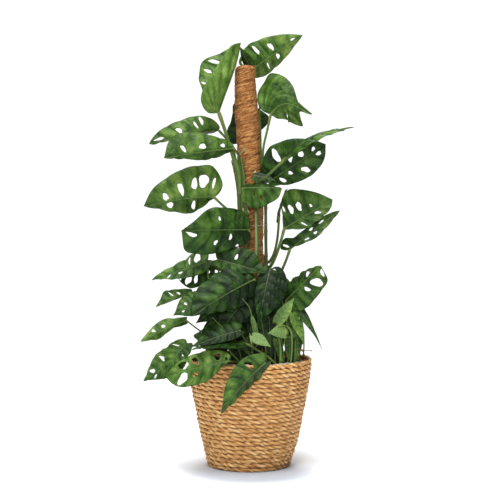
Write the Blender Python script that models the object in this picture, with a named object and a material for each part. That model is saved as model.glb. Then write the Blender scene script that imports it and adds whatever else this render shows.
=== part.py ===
"""Potted adansons monstera on a coir pole, standing in a woven seagrass basket.

Sizes are in millimetres and are turned into metres when a mesh is made. The basket stands on z = 0
with its centre on the z axis, x runs to the right of the photo and y away from its camera.
"""

import math

import bpy
import numpy as np

MM = 0.001
SEAT = 0.35

# Basket: outer radius by height, wall, and the rows of seagrass rope round it.
BASKET_SIDES = 20
BASKET_ROWS = 24
BASKET_PROFILE = [(0, 80), (5, 84), (20, 87), (44.5, 93), (74, 99.5), (100, 104.5), (157, 115.5), (195, 120),
                  (212, 120.5)]
ROW_DEPTH = 1.5
BASKET_WALL = 6.0
BASKET_FLOOR = 7.0
INNER_HEIGHTS = (7.0, 40.0, 100.0, 157.0, 212.0)

# Plastic film inside the basket, the nursery pot in it, and the soil.
LINER_WALL = 0.8
LINER_TOP = 209.0
POT_WALL = 1.4
POT_TOP = 200.0
SOIL_TOP = 190.0

# Pole: (x, radius, height) of its axis, from the top down; it stands in a plain hole in the soil.
POLE = [(-9.8, 17.5, 785), (-9.8, 19.6, 780), (-9.8, 20, 751), (-6.9, 23, 693), (-3.3, 23.5, 657),
        (-1, 23.5, 597), (2, 23.5, 518), (2, 23.5, 430), (4, 23.5, 322), (4, 23.5, 205), (4, 23.5, 60)]
POLE_SIDES = 16
CORE_RADIUS = 9.0
CORE_SIDES = 8

# Vines: points of each axis from the soil up, and the radius at the foot and at the top.
VINE_SIDES = 6
VINES = {
    "vine_left": ([(-6, -28.5, 165), (-5, -28.5, 330), (-6, -28.5, 430), (-6, -28.5, 489),
                   (-9, -27.5, 520), (-13, -26.5, 550), (-19, -23, 583), (-21, -22.5, 600),
                   (-16, -26.5, 616), (-6, -29, 624)], 4.0, 3.0),
    "vine_front": ([(19, -25, 165), (18, -25, 330), (15, -26, 440), (14, -26.5, 520), (12, -27.5, 578)],
                   4.2, 3.2),
    "vine_right": ([(35, 2, 165), (33, 2, 330), (31, 2, 440), (30.5, 2, 520), (29, 0, 600)], 4.2, 3.2),
    "vine_back": ([(-10, 27, 165), (-12, 26, 330), (-13, 26, 440), (-13, 26.5, 560), (-15, 27, 640),
                   (-17, 26.5, 712)], 4.2, 3.2),
    "shoot_left": ([(-46, -26, 165), (-46, -26, 195), (-48, -27, 250), (-50, -30, 330)], 4.0, 3.0),
    "shoot_right": ([(100, -5, 165), (100, -5, 195), (103, -8, 240), (99, -12, 288)], 3.6, 2.8),
    "shoot_back": ([(-2, 62, 165), (-2, 62, 195), (0, 66, 250), (2, 66, 330)], 4.0, 3.0),
    "shoot_front": ([(4, -75, 165), (4, -75, 195), (5, -76, 252)], 3.6, 2.8),
    "shoot_middle": ([(57, -60, 165), (57, -60, 195), (56, -62, 262)], 3.6, 2.8),
}
SMALL_LEAVES = {"shoot_front": ("leaf_thin", "leaf_pale"), "shoot_middle": ("leaf_rolled", "leaf_pointed")}

# Cord that ties the vines to the pole.
CORD_HEIGHT = 473.0
CORD_RADIUS = 0.7

# Blades: half outlines as (along the midrib, out from it in half widths), from the base to the tip.
BLADE = 0.9
RIB = (0.0, 0.09, 0.23, 0.38, 0.55, 0.74, 1.0)
CELLS = len(RIB) - 1
PLAIN = [(-.10, .36), (.12, .93), (.32, 1.0), (.51, .86), (.69, .58), (.86, .22), (1, 0)]
# Holes between two side veins: centre and half length out from the midrib, half width and centre from
# one vein to the next. A leaf gives its holes as letters, from the base to the tip, or by cell.
HOLES = {"0": (.50, .36, .36, .5), "O": (.45, .27, .26, .5), "o": (.34, .15, .20, .5),
         "i": (.50, .28, .12, .5), "m": (.69, .19, .28, .5), "s": (.72, .20, .15, .5)}
HOLE_SIDES = 5
STALK_SIDES = 5
STALK_FOOT = 2.5
STALK_TOP = 1.9
SUNK = 5.0

# Leaves. stem: vine, height on it and the way out of it. base and tip of the midrib; facing: what the
# blade's upper side looks at; width: half widths to its right and left, seen with the tip ahead;
# arch and bow: rise of the midrib's handles; fold and curl in degrees; holes from the base to the tip.
LEAVES = {
    "leaf_top_left": dict(
        stem=("vine_left", 540, (-.9, -.5)), via=[(-22, -33, 577), (-36, -37, 616), (-47, -41, 653)],
        base=(-60, -45, 691), tip=(-18, -10, 825), facing=(-.1, -1, .1),
        width=(67, 48), arch=(.10, .06), bow=(-.02, 0), fold=(-2, 120), curl=(20, -55),
        holes=({2: (.80, .11, .10, .5), 3: (.70, .15, .10, .5), 4: (.66, .22, .14, .3)}, ""),
        edge=([(-.03, .22), (.08, .45), (.22, .72), (.38, .96), (.62, .99), (.80, .55), (1, 0)],
              [(-.05, .46), (.06, .93), (.24, 1.0), (.47, .86), (.68, .69), (.88, .48), (1, 0)])),
    "leaf_top_right": dict(
        stem=("vine_back", 700, (.6, .8)), base=(4, 32, 775), tip=(102, -2, 840), facing=(.1, -1, .2),
        width=(44, 26), arch=(.08, .06), fold=(0, -28), curl=(15, 10),
        holes=({0: (.62, .20, .22, .6), 2: (.58, .26, .15, .35), 3: (.38, .22, .17, .6),
                5: (.30, .14, .14, .3)},
               {2: (.45, .26, .08, .4), 3: (.30, .24, .14, .7)}),
        edge=([(-.16, .50), (-.04, .80), (.12, 1.0), (.32, .95), (.56, .74), (.82, .38), (1, 0)],
              [(-.08, .55), (0, .9), (.14, 1.06), (.30, 1.0), (.52, .80), (.78, .42), (1, 0)])),
    "leaf_top_back": dict(
        stem=("vine_back", 596, (0, 1)), base=(-14, 58, 632), tip=(-12, 42, 716), facing=(0, -1, 0),
        width=(32, 50), arch=(.05, .05), fold=(0, 0), curl=(10, 10),
        edge=([(-.05, .6), (.05, .9), (.27, 1.0), (.46, .8), (.68, .68), (.90, .62), (1, 0)],
              [(0, .1), (.08, .3), (.25, .6), (.45, .95), (.62, 1.0), (.8, .6), (1, 0)])),
    "leaf_top_folded": dict(
        stem=("vine_right", 556, (-.2, -1)), via=[(25, -14, 585), (25.5, -26, 620), (33, -34, 656)],
        base=(40, -36, 687), tip=(119, -60, 687), facing=(-.29, -.96, .05),
        width=(70, 38), arch=(.02, 0), bow=(.48, .11), fold=(-8, -22), curl=(18, 10),
        holes=("", {2: (.66, .17, .12, .68)}),
        edge=([(-.05, .26), (-.01, .45), (.07, .76), (.16, .88), (.25, 1.0), (.36, .29), (1, 0)],
              [(0, .12), (0, .45), (.17, .93), (.50, 1.0), (.88, .84), (.72, .20), (1, 0)])),
    "leaf_left_1": dict(
        stem=("vine_left", 560, (-1, -.1)), base=(-61, -25, 657), tip=(-194, -45, 631), facing=(0, -1, .3),
        width=(36, 34), arch=(.06, .06), fold=(-97, 3), curl=(0, 15),
        holes=("", {1: (.66, .25, .14, .68), 2: (.45, .20, .11, .28), 3: (.38, .23, .16, .72),
                    5: (.32, .2, .3, .35)}),
        edge=([(0, .1), (.1, .7), (.3, 1.0), (.5, .86), (.7, .58), (.86, .22), (1, 0)],
              [(-.03, .2), (.10, .85), (.30, 1.02), (.50, .94), (.70, .76), (.87, .44), (1, 0)])),
    "leaf_left_2": dict(
        stem=("vine_left", 612, (-.2, -1)), base=(-31, -46, 622), tip=(-163, -95, 604), facing=(0, -1, .2),
        width=(24, 45), arch=(.08, .04), fold=(-60, -4), curl=(5, 15),
        holes=("", {1: (.34, .17, .24, .6), 3: (.24, .11, .30, .4), 4: (.26, .19, .11, .75)}),
        edge=([(0, .15), (.1, .6), (.3, .9), (.45, 1), (.72, .45), (.86, .2), (1, 0)],
              [(0, .15), (.06, .36), (.18, .50), (.36, .78), (.58, 1.0), (.86, .77), (1, 0)])),
    "leaf_left_3": dict(
        stem=("vine_left", 483, (-1, -.2)), base=(-69, -45, 528), tip=(-203, -75, 512), facing=(0, -1, .1),
        width=(36, 62), arch=(.08, .06), bow=(-.05, -.02), fold=(-38, 0), curl=(5, 15),
        holes=({2: (.46, .28, .20, .5), 4: (.34, .24, .24, .4)},
               {0: (.52, .20, .10, .76), 1: (.47, .22, .34, .58), 2: (.40, .16, .25, .3),
                3: (.33, .22, .19, .38), 4: (.24, .20, .17, .6)}),
        edge=([(0, .08), (.06, .25), (.20, .75), (.36, 1), (.58, .75), (.80, .35), (1, 0)],
              [(-.14, .38), (-.02, .93), (.18, 1.0), (.40, .93), (.62, .72), (.84, .45), (1, 0)])),
    "leaf_left_4": dict(
        stem=("vine_left", 436, (-.2, -1)), base=(-2, -42, 465), tip=(-130, -100, 467), facing=(0, -1, .1),
        width=(46, 44), arch=(.10, .06), fold=(-3, -3), curl=(20, 15),
        holes=({1: (.84, .07, .18, .65), 2: (.30, .15, .11, .4), 3: (.48, .09, .12, .4),
                4: (.22, .12, .38, .5)},
               {1: (.48, .10, .14, .6), 3: (.46, .10, .09, .35)}),
        edge=([(-.02, .35), (.06, .60), (.26, .80), (.52, .98), (.80, .98), (.955, .80), (1, 0)],
              [(-.02, .35), (.03, .68), (.17, .92), (.42, 1.0), (.62, .9), (.82, .40), (1, 0)])),
    "leaf_centre_1": dict(
        stem=("shoot_left", 322, (-.3, -1)), base=(-62, -60, 409), tip=(28, -75, 384), facing=(0, -1, .3),
        width=(34, 18), arch=(.10, .06), fold=(5, 5), curl=(20, 20), holes=("..o...", ""),
        edge=([(-.08, .3), (0, .5), (.2, .8), (.45, 1.0), (.68, .95), (.86, .5), (1, 0)], PLAIN)),
    "leaf_left_5": dict(
        stem=("shoot_left", 292, (-.7, -.8)), via=[(-74, -60, 345)],
        base=(-84, -52, 404), tip=(-187, -85, 371), facing=(0, -1, 1),
        width=(24, 30), arch=(0, 0), fold=(5, 5), curl=(15, 10), holes=(".o.oi.", ".0i..."),
        edge=(PLAIN, [(-.1, .5), (-.02, .85), (.12, 1.0), (.30, .70), (.55, .52), (.80, .35), (1, 0)])),
    "leaf_left_6": dict(
        stem=("shoot_left", 312, (-1, .4)), base=(-71, -36, 397), tip=(-141, -50, 375), facing=(0, -1, .3),
        width=(32, 14), arch=(.06, .06), fold=(-10, 5), curl=(10, 20), holes=(".o.O0s", ""),
        edge=([(0, .4), (.1, .7), (.3, .95), (.55, 1.0), (.78, .92), (.93, .5), (1, 0)], PLAIN)),
    "leaf_centre_2": dict(
        stem=("vine_front", 330, (-.1, -1)), base=(8, -75, 372), tip=(-108, -130, 309), facing=(0, -1, .4),
        width=(40, 50), arch=(.10, .08), fold=(-50, -5), curl=(10, 25),
        edge=(PLAIN, [(-.08, .4), (.08, .85), (.30, 1.0), (.54, .97), (.76, .78), (.92, .42), (1, 0)])),
    "leaf_left_7": dict(
        stem=("shoot_left", 284, (-1, -.2)), base=(-111, -64, 347), tip=(-180, -90, 320),
        facing=(0, -1, .6),
        width=(6, 22), arch=(.04, .04), fold=(-90, 3), curl=(0, 10), holes=("", "..oi.."),
        edge=(PLAIN, [(-.02, .25), (.08, .42), (.28, .7), (.5, .97), (.64, 1.0), (.80, .5), (1, 0)])),
    "leaf_left_8": dict(
        stem=("shoot_left", 266, (-.6, -.8)), base=(-92, -80, 334), tip=(-146, -96, 305),
        facing=(0, -.9, .4),
        width=(24, 26), arch=(.08, .06), fold=(0, 0), curl=(20, 20), holes=("..o.o.", "...o..")),
    "leaf_left_9": dict(
        stem=("shoot_left", 246, (-1, -.3)), base=(-122, -80, 294), tip=(-208, -105, 256),
        facing=(0, -1, .5),
        width=(15, 20), arch=(.06, .04), fold=(-62, 0), curl=(0, 10), holes=("", "...oi."),
        edge=([(-.03, .5), (.08, .6), (.28, .4), (.48, .7), (.64, 1.0), (.8, .6), (1, 0)],
              [(-.05, .25), (.06, .45), (.2, .68), (.36, 1), (.60, .86), (.83, .43), (1, 0)])),
    "leaf_left_10": dict(
        stem=("shoot_left", 216, (-1, 0)), base=(-133, -50, 219), tip=(-206, -60, 173), facing=(0, -.9, .4),
        width=(24, 33), arch=(.06, .06), fold=(-10, 0), curl=(15, 15), holes=("....i.", "..O.O.")),
    "leaf_left_11": dict(
        stem=("shoot_left", 228, (-.8, -.6)), base=(-121, -78, 249), tip=(-163, -96, 190),
        facing=(-.2, -.8, .6),
        width=(20, 28), arch=(.18, .10), fold=(0, 0), curl=(20, 20), holes=("..O...", ".i....")),
    "leaf_rim_1": dict(
        stem=("shoot_front", 212, (-1, -.2)), base=(-41, -129, 222), tip=(-161, -104, 190),
        facing=(0, -1, .4),
        width=(31, 30), arch=(.06, .05), fold=(0, 0), curl=(15, 15), holes=("...o0.", "oO.O0."),
        edge=([(0, .1), (.12, .3), (.30, .85), (.52, 1.0), (.75, .96), (.90, .62), (1, 0)],
              [(-.05, .3), (.03, .7), (.22, .95), (.42, .95), (.64, .82), (.84, .45), (1, 0)])),
    "leaf_rim_2": dict(
        stem=("shoot_front", 208, (.7, -.7)), via=[(18, -106, 225)],
        base=(28, -142, 220), tip=(-55, -145, 124), facing=(0, -1, .1),
        width=(28, 34), arch=(.05, .03), bow=(-.05, -.05), fold=(-60, 0), curl=(5, 5),
        holes=("", ".O....")),
    "leaf_right_1": dict(
        stem=("vine_right", 532, (.8, -.6)), base=(38, -25, 558), tip=(144, -72, 630), facing=(0, -1, 0),
        width=(54, 35), arch=(.06, .06), fold=(-3, -8), curl=(10, 10),
        holes=({2: (.60, .24, .30, .38), 3: (.32, .16, .22, .4), 4: (.25, .13, .20, .3),
                5: (.30, .16, .12, .2)},
               {1: (.44, .24, .20, .6), 2: (.22, .12, .15, .65), 3: (.53, .20, .24, .66),
                5: (.40, .20, .16, .28)}),
        edge=([(-.08, .35), (.03, .62), (.24, 1.0), (.44, .98), (.66, .80), (.88, .40), (1, 0)],
              [(-.03, .2), (.10, .5), (.28, .85), (.50, 1.0), (.70, .92), (.88, .6), (1, 0)])),
    "leaf_right_2": dict(
        stem=("vine_front", 556, (.3, -1)), via=[(34, -64, 571)], base=(68, -92, 604), tip=(196, -106, 662),
        facing=(0, -.25, 1), width=(30, 27), arch=(.20, .08), fold=(-5, -5), curl=(15, 15)),
    "leaf_centre_3": dict(
        stem=("vine_left", 520, (-.3, -1)), base=(-14, -42, 545), tip=(61, -62, 546), facing=(0, -1, .2),
        width=(20, 40), arch=(.16, .10), fold=(-50, -5), curl=(10, 20), holes=("", "..oo.."),
        edge=(PLAIN, [(-.05, .36), (.05, .8), (.25, 1.0), (.48, .97), (.72, .75), (.93, .45), (1, 0)])),
    "leaf_right_3": dict(
        stem=("vine_right", 385, (.6, -.8)), base=(66, -45, 468), tip=(157, -75, 525), facing=(0, -1, .1),
        width=(60, 26), arch=(.08, .06), fold=(-3, -36), curl=(15, 5),
        holes=({1: (.76, .16, .12, .7), 2: (.42, .15, .28, .42), 3: (.34, .15, .24, .32),
                4: (.24, .07, .10, .35)},
               {2: (.52, .28, .10, .45), 4: (.36, .22, .20, .35)}),
        edge=([(.02, .12), (.08, .40), (.20, .80), (.38, 1.0), (.60, .82), (.84, .42), (1, 0)],
              [(0, .15), (.10, .45), (.30, 1.0), (.50, .98), (.72, .86), (.88, .6), (1, 0)])),
    "leaf_right_4": dict(
        stem=("vine_right", 398, (1, -.2)), base=(54, -20, 478), tip=(66, 55, 525), facing=(-1, -.3, 0),
        width=(24, 24), arch=(.06, .06), fold=(0, 0), curl=(10, 10)),
    "leaf_right_5": dict(
        stem=("vine_right", 350, (1, -.3)), base=(77, -30, 426), tip=(173, -50, 503), facing=(-.2, -1, .2),
        width=(25, 19), arch=(.06, .06), fold=(-5, -50), curl=(10, 5), holes=("i..oo.", "..oo.."),
        edge=([(-.12, .5), (.02, 1.0), (.17, .52), (.36, .52), (.60, .45), (.84, .30), (1, 0)],
              [(0, .05), (.1, .12), (.26, .6), (.46, 1), (.62, .77), (.84, .37), (1, 0)])),
    "leaf_right_6": dict(
        stem=("shoot_right", 274, (-.6, -.8)), base=(69, -60, 330), tip=(135, -80, 399), facing=(0, -1, .1),
        width=(32, 38), arch=(.08, .06), fold=(-52, 0), curl=(5, 10), holes=("....O.", "...o0m"),
        edge=([(-.05, .4), (.06, .8), (.28, 1), (.50, .87), (.70, .65), (.86, .35), (1, 0)],
              [(-.12, .35), (.02, .78), (.20, 1.0), (.42, .99), (.68, .90), (.90, .74), (1, 0)])),
    "leaf_centre_4": dict(
        stem=("vine_right", 330, (.2, -1)), base=(38, -65, 390), tip=(15, -95, 286), facing=(0, -1, .3),
        width=(40, 20), arch=(.12, .06), fold=(0, -10), curl=(20, 20), holes=("o.....", "")),
    "leaf_low_1": dict(
        stem=("shoot_front", 244, (-1, -.5)), base=(-19, -96, 276), tip=(-110, -118, 247),
        facing=(0, -.8, .6),
        width=(15, 30), arch=(.10, .06), fold=(0, 0), curl=(20, 20)),
    "leaf_low_2": dict(
        stem=("shoot_front", 230, (-.6, -.8)), base=(-15, -104, 250), tip=(-110, -122, 242),
        facing=(0, -.25, 1),
        width=(22, 22), arch=(.10, .06), fold=(5, 5), curl=(20, 20)),
    "leaf_low_3": dict(
        stem=("vine_left", 262, (-.3, -1)), base=(0, -55, 294), tip=(-96, -84, 273), facing=(0, -1, .3),
        width=(30, 30), arch=(.06, .05), fold=(0, 0), curl=(10, 10)),
    "leaf_low_4": dict(
        stem=("vine_front", 225, (.1, -1)), base=(23, -46, 250), tip=(78, -52, 310), facing=(0, -1, .3),
        width=(30, 30), arch=(.06, .05), fold=(0, 0), curl=(10, 10)),
    "leaf_hanging": dict(
        stem=("shoot_right", 262, (.2, -1)), base=(90, -56, 320), tip=(138, -70, 236), facing=(0, -1, .2),
        width=(9, 8), arch=(.12, .05), bow=(0, .06), fold=(0, 0), curl=(20, 20),
        edge=([(-.04, .5), (.06, .9), (.22, 1.0), (.42, .74), (.62, .36), (.82, .16), (1, 0)],
              [(-.04, .5), (.06, .9), (.22, 1.0), (.42, .74), (.62, .36), (.82, .16), (1, 0)])),
    "leaf_rolled": dict(
        stem=("shoot_middle", 246, (-.2, -1)), base=(51, -90, 291), tip=(84, -95, 338), facing=(0, -1, .1),
        width=(13, 13), arch=(.05, .05), fold=(0, 0), curl=(-110, -110)),
    "leaf_pointed": dict(
        stem=("shoot_middle", 232, (.5, -1)), base=(68, -95, 266), tip=(34, -110, 273), facing=(0, -1, .3),
        width=(6, 20), arch=(.05, .05), fold=(0, 0), curl=(10, 10)),
    "leaf_pale": dict(
        stem=("shoot_front", 236, (.2, -1)), base=(5, -100, 267), tip=(40, -116, 247), facing=(0, -.9, .4),
        width=(11, 11), arch=(.08, .05), fold=(0, 0), curl=(10, 10)),
    "leaf_thin": dict(
        stem=("shoot_front", 246, (.6, -.4)), base=(12, -88, 269), tip=(2, -86, 309), facing=(0, -1, .1),
        width=(7, 7), arch=(.05, .05), fold=(0, 0), curl=(-80, -80)),
    "leaf_back_1": dict(
        stem=("vine_back", 700, (-.9, .4)), via=[(-26, 38, 722)],
        base=(-14, 62, 749), tip=(-12, 160, 726), facing=(-1, 0, .25),
        width=(36, 34), arch=(.06, .06), fold=(6, 6), curl=(12, 12), holes=(".Oo...", "..Oo..")),
    "leaf_back_2": dict(
        stem=("vine_back", 545, (.3, 1)), base=(2, 54, 578), tip=(10, 172, 548), facing=(1, 0, .2),
        width=(40, 38), arch=(.08, .06), fold=(6, 6), curl=(14, 14), holes=(".OO...", ".oOo..")),
    "leaf_back_3": dict(
        stem=("vine_back", 478, (-.2, 1)), base=(-12, 56, 500), tip=(-16, 182, 452), facing=(-1, 0, .2),
        width=(42, 40), arch=(.08, .06), fold=(6, 6), curl=(14, 14), holes=(".OOo..", "..O...")),
    "leaf_back_4": dict(
        stem=("vine_back", 400, (.5, .9)), base=(14, 62, 428), tip=(24, 168, 372), facing=(1, .1, .3),
        width=(40, 38), arch=(.10, .06), fold=(6, 6), curl=(14, 14), holes=(".O.o..", ".oO...")),
    "leaf_back_5": dict(
        stem=("vine_back", 345, (-1, .3)), base=(-46, 52, 386), tip=(-84, 104, 292), facing=(-.2, 1, .5),
        width=(40, 38), arch=(.08, .08), fold=(4, 4), curl=(16, 16), holes=(".OO...", "..Oo..")),
    "leaf_back_6": dict(
        stem=("shoot_back", 322, (.6, .8)), base=(36, 92, 366), tip=(66, 128, 266), facing=(.2, 1, .4),
        width=(40, 38), arch=(.08, .08), fold=(4, 4), curl=(16, 16), holes=("..Oo..", ".Oo...")),
    "leaf_back_7": dict(
        stem=("shoot_back", 300, (-.6, .8)), base=(-20, 104, 322), tip=(-46, 168, 240),
        facing=(-.1, .8, .7),
        width=(38, 38), arch=(.10, .08), fold=(4, 4), curl=(16, 16), holes=(".oO...", "..O...")),
    "leaf_back_8": dict(
        stem=("shoot_back", 262, (1, .1)), base=(58, 66, 292), tip=(84, 108, 226), facing=(.4, .6, .8),
        width=(28, 28), arch=(.10, .08), fold=(4, 4), curl=(14, 14), holes=("..o...", "..o...")),
    "leaf_back_9": dict(
        stem=("shoot_back", 214, (.4, 1)), base=(22, 131, 222), tip=(52, 142, 122), facing=(.1, 1, .1),
        width=(34, 34), arch=(.06, .05), fold=(0, 0), curl=(14, 14), holes=(".Oo...", "..O...")),
    "leaf_back_10": dict(
        stem=("shoot_back", 226, (-.8, .6)), base=(-52, 122, 226), tip=(-84, 132, 138), facing=(-.3, 1, .1),
        width=(32, 32), arch=(.06, .05), fold=(0, 0), curl=(14, 14), holes=("..O...", ".o....")),
    "leaf_back_11": dict(
        stem=("shoot_left", 240, (-.6, .8)), base=(-76, 20, 268), tip=(-104, 92, 230), facing=(-.4, .2, 1),
        width=(26, 26), arch=(.10, .08), fold=(4, 4), curl=(14, 14), holes=("..o...", "")),
}


def unit(vector):
    vector = np.asarray(vector, float)
    return vector / np.linalg.norm(vector, axis=-1, keepdims=True)


def curve(points, t):
    """Catmull-Rom curve through the outline points, at t from 0 to the number of spans."""
    points = np.asarray(points, float)
    ends = np.vstack([(0.0, 0.0), points, 2 * points[-1] - points[-2]])
    span = np.clip(np.floor(t).astype(int), 0, len(points) - 2)
    f = (t - span)[..., None]
    a, b, c, d = (ends[span + k] for k in range(4))
    return b + 0.5 * f * (c - a + f * (2 * a - 5 * b + 4 * c - d + f * (3 * (b - c) + d - a)))


def side_vein(outline, k, p):
    """Point at p (0 midrib, 1 edge) along side vein k, in outline coordinates."""
    p = np.asarray(p, float)[..., None]
    start = np.array([RIB[k], 0.0])
    end = np.array(outline[k], float)
    bend = start + (end - start) * (0.36, 0.56)
    if k == 0:
        bend = np.array([min(-0.03, 0.7 * end[0]), 0.28 * end[1]])
    return (1 - p) ** 2 * start + 2 * p * (1 - p) * bend + p ** 2 * end


def cell_point(outline, k, p, q):
    """Point between side veins k and k + 1: p out from the midrib, q from one vein to the next."""
    out, across = p[..., None], q[..., None]
    rib = np.stack([RIB[k] + q * (RIB[k + 1] - RIB[k]), 0 * q], -1)
    edge = curve(outline, k + q)
    inner = (1 - across) * (RIB[k], 0) + across * np.array((RIB[k + 1], 0))
    outer = (1 - across) * outline[k] + across * np.array(outline[k + 1])
    veins = (1 - across) * side_vein(outline, k, p) + across * side_vein(outline, k + 1, p)
    return veins + (1 - out) * (rib - inner) + out * (edge - outer)


def midrib(leaf, u):
    """Points and directions of the midrib at u, with the leaf's upward direction."""
    base, tip = np.array(leaf["base"], float), np.array(leaf["tip"], float)
    chord = tip - base
    ahead = unit(chord)
    facing = np.array(leaf["facing"], float)
    up = unit(facing - ahead * (facing @ ahead))
    right = np.cross(up, ahead)
    length = np.linalg.norm(chord)
    bow = leaf.get("bow", (0, 0))
    first = base + chord / 3 + length * (up * leaf["arch"][0] + right * bow[0])
    last = tip - chord / 3 + length * (up * leaf["arch"][1] + right * bow[1])
    t = np.clip(u, 0, 1)[..., None]
    points = ((1 - t) ** 3 * base + 3 * t * (1 - t) ** 2 * first
              + 3 * t ** 2 * (1 - t) * last + t ** 3 * tip)
    ways = unit((1 - t) ** 2 * (first - base) + 2 * t * (1 - t) * (last - first) + t ** 2 * (tip - last))
    points = points + np.minimum(u, 0)[..., None] * length * unit(first - base)
    return points, ways, up


def blade_point(leaf, side, place):
    """Point of the blade for an outline place (u, v), on side 0 (right) or 1 (left)."""
    u, v = place[..., 0], place[..., 1]
    points, ways, up = midrib(leaf, u)
    right = unit(np.cross(up, ways))
    above = np.cross(ways, right)
    reach = v * leaf["width"][side]
    fold = math.radians(leaf["fold"][side])
    bend = math.radians(leaf["curl"][side]) / leaf["width"][side]
    if bend:
        out = (np.sin(fold) - np.sin(fold - bend * reach)) / bend
        rise = (np.cos(fold - bend * reach) - np.cos(fold)) / bend
    else:
        out, rise = reach * np.cos(fold), reach * np.sin(fold)
    return points + right * ((1, -1)[side] * out)[..., None] + above * rise[..., None]


def stitch(first, second, first_t, second_t):
    """Triangles between two chains of vertices, each chain with rising parameters."""
    faces = []
    i, j = 0, 0
    while i < len(first) - 1 or j < len(second) - 1:
        step_first = j == len(second) - 1
        if i < len(first) - 1 and not step_first:
            step_first = first_t[i + 1] + first_t[i] < second_t[j + 1] + second_t[j]
        if step_first:
            faces.append((first[i], first[i + 1], second[j]))
            i += 1
        else:
            faces.append((first[i], second[j + 1], second[j]))
            j += 1
    return faces


def ring_faces(outer, inner, outer_places, inner_places, centre):
    """Triangles between a closed outer loop and the loop of a hole."""
    def turned(loop, places):
        angle = np.arctan2(places[:, 1] - centre[1], places[:, 0] - centre[0]) % (2 * np.pi)
        order = np.argsort(angle)
        loop = [loop[k] for k in order]
        angle = angle[order]
        return loop + loop[:1], np.append(angle, angle[0] + 2 * np.pi)
    outer, outer_t = turned(outer, outer_places)
    inner, inner_t = turned(inner, inner_places)
    return stitch(outer, inner, outer_t, inner_t)


def hole_in(leaf, side, k):
    """Hole of cell k as its centre and half sizes, or None."""
    holes = leaf.get("holes", ("", ""))[side]
    return HOLES.get(holes[k:k + 1]) if isinstance(holes, str) else holes.get(k)


def blade_surface(leaf):
    """Points and triangles of the blade's middle surface, all wound the same way."""
    outlines = leaf.get("edge", (PLAIN, PLAIN))
    spans = 2 if "edge" in leaf else 1
    points = list(midrib(leaf, np.array(RIB))[0])
    faces = []
    for side in (0, 1):
        outline = outlines[side]
        edge = list(range(len(points), len(points) + spans * CELLS)) + [CELLS]
        points.extend(blade_point(leaf, side, curve(outline, np.arange(spans * CELLS) / spans)))
        for k in range(CELLS):
            rim = edge[spans * k:spans * (k + 1) + 1]
            along = np.arange(spans + 1) / spans
            hole = hole_in(leaf, side, k)
            if hole is None:
                found = stitch([k, k + 1], rim, (0, 1), along)
                found = [face for face in found if len(set(face)) == 3]
            else:
                at, half_out, half_along, across = hole
                turn = 2 * np.pi * (np.arange(HOLE_SIDES) + 0.5) / HOLE_SIDES
                p = at + half_out * np.cos(turn)
                q = across + half_along * np.sin(turn)
                ring = list(range(len(points), len(points) + HOLE_SIDES))
                points.extend(blade_point(leaf, side, cell_point(outline, k, p, q)))
                outer = dict(zip(rim, [(1, q) for q in along]))
                outer.update({k: (0, 0), k + 1: (0, 1)})
                corners = np.array(list(outer.values()), float)
                found = ring_faces(list(outer), ring, corners, np.stack([p, q], -1), (at, across))
                found = [face[::-1] for face in found]
            faces.extend(found if side == 0 else [face[::-1] for face in found])
    return np.array(points), faces


def thickened(points, faces, thickness):
    """A surface of triangles made into a closed plate."""
    faces = np.array(faces)
    normals = np.zeros_like(points)
    flat = np.cross(points[faces[:, 1]] - points[faces[:, 0]], points[faces[:, 2]] - points[faces[:, 0]])
    for corner in range(3):
        np.add.at(normals, faces[:, corner], flat)
    offset = unit(normals) * thickness / 2
    count = len(points)
    edges = {(int(a), int(b)) for face in faces for a, b in zip(face, np.roll(face, -1))}
    walls = []
    for a, b in sorted(edges):
        if (b, a) not in edges:
            walls += [(a, a + count, b), (b, a + count, b + count)]
    both = np.vstack([points + offset, points - offset])
    return both, faces.tolist() + (faces[:, ::-1] + count).tolist() + walls


def tube(path, radii, sides, start_way=None):
    """Closed tube with flat ends along a path of points; the first end faces back along start_way."""
    path = np.asarray(path, float)
    ways = unit(np.gradient(path, axis=0))
    if start_way is not None:
        ways[0] = start_way
    up = np.array([0.0, 1.0, 0.0]) if abs(ways[0][1]) < 0.8 else np.array([1.0, 0.0, 0.0])
    rings = []
    for point, way, radius in zip(path, ways, radii):
        first = unit(np.cross(way, up))
        second = np.cross(way, first)
        up = np.cross(first, way)
        turn = 2 * np.pi * np.arange(sides) / sides
        rings.append(point + radius * (np.cos(turn)[:, None] * first + np.sin(turn)[:, None] * second))
    points = np.vstack(rings)
    faces = [tuple(range(sides))[::-1], tuple(range(len(points) - sides, len(points)))]
    for r in range(len(path) - 1):
        for s in range(sides):
            a, b = r * sides + s, r * sides + (s + 1) % sides
            faces.append((a, b, b + sides, a + sides))
    return points, faces


def through(points, steps):
    """Smooth path through points: Catmull-Rom, with steps pieces to a span."""
    points = np.asarray(points, float)
    ends = np.vstack([2 * points[0] - points[1], points, 2 * points[-1] - points[-2]])
    found = []
    for k in range(len(points) - 1):
        a, b, c, d = ends[k:k + 4]
        for f in np.arange(steps) / steps:
            bend = 2 * a - 5 * b + 4 * c - d + f * (3 * (b - c) + d - a)
            found.append(b + 0.5 * f * (c - a + f * bend))
    return np.array(found + [points[-1]])


def vine_at(name, height):
    """Axis point, radius and direction of a vine at a height."""
    points, foot, top = VINES[name]
    path = through(points, 2)
    climb = path[:, 2]
    centre = np.array([np.interp(height, climb, path[:, axis]) for axis in range(3)])
    share = (height - climb[0]) / (climb[-1] - climb[0])
    span = np.searchsorted(climb, height) - 1
    return centre, foot + (top - foot) * share, unit(path[span + 1] - path[span])


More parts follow.
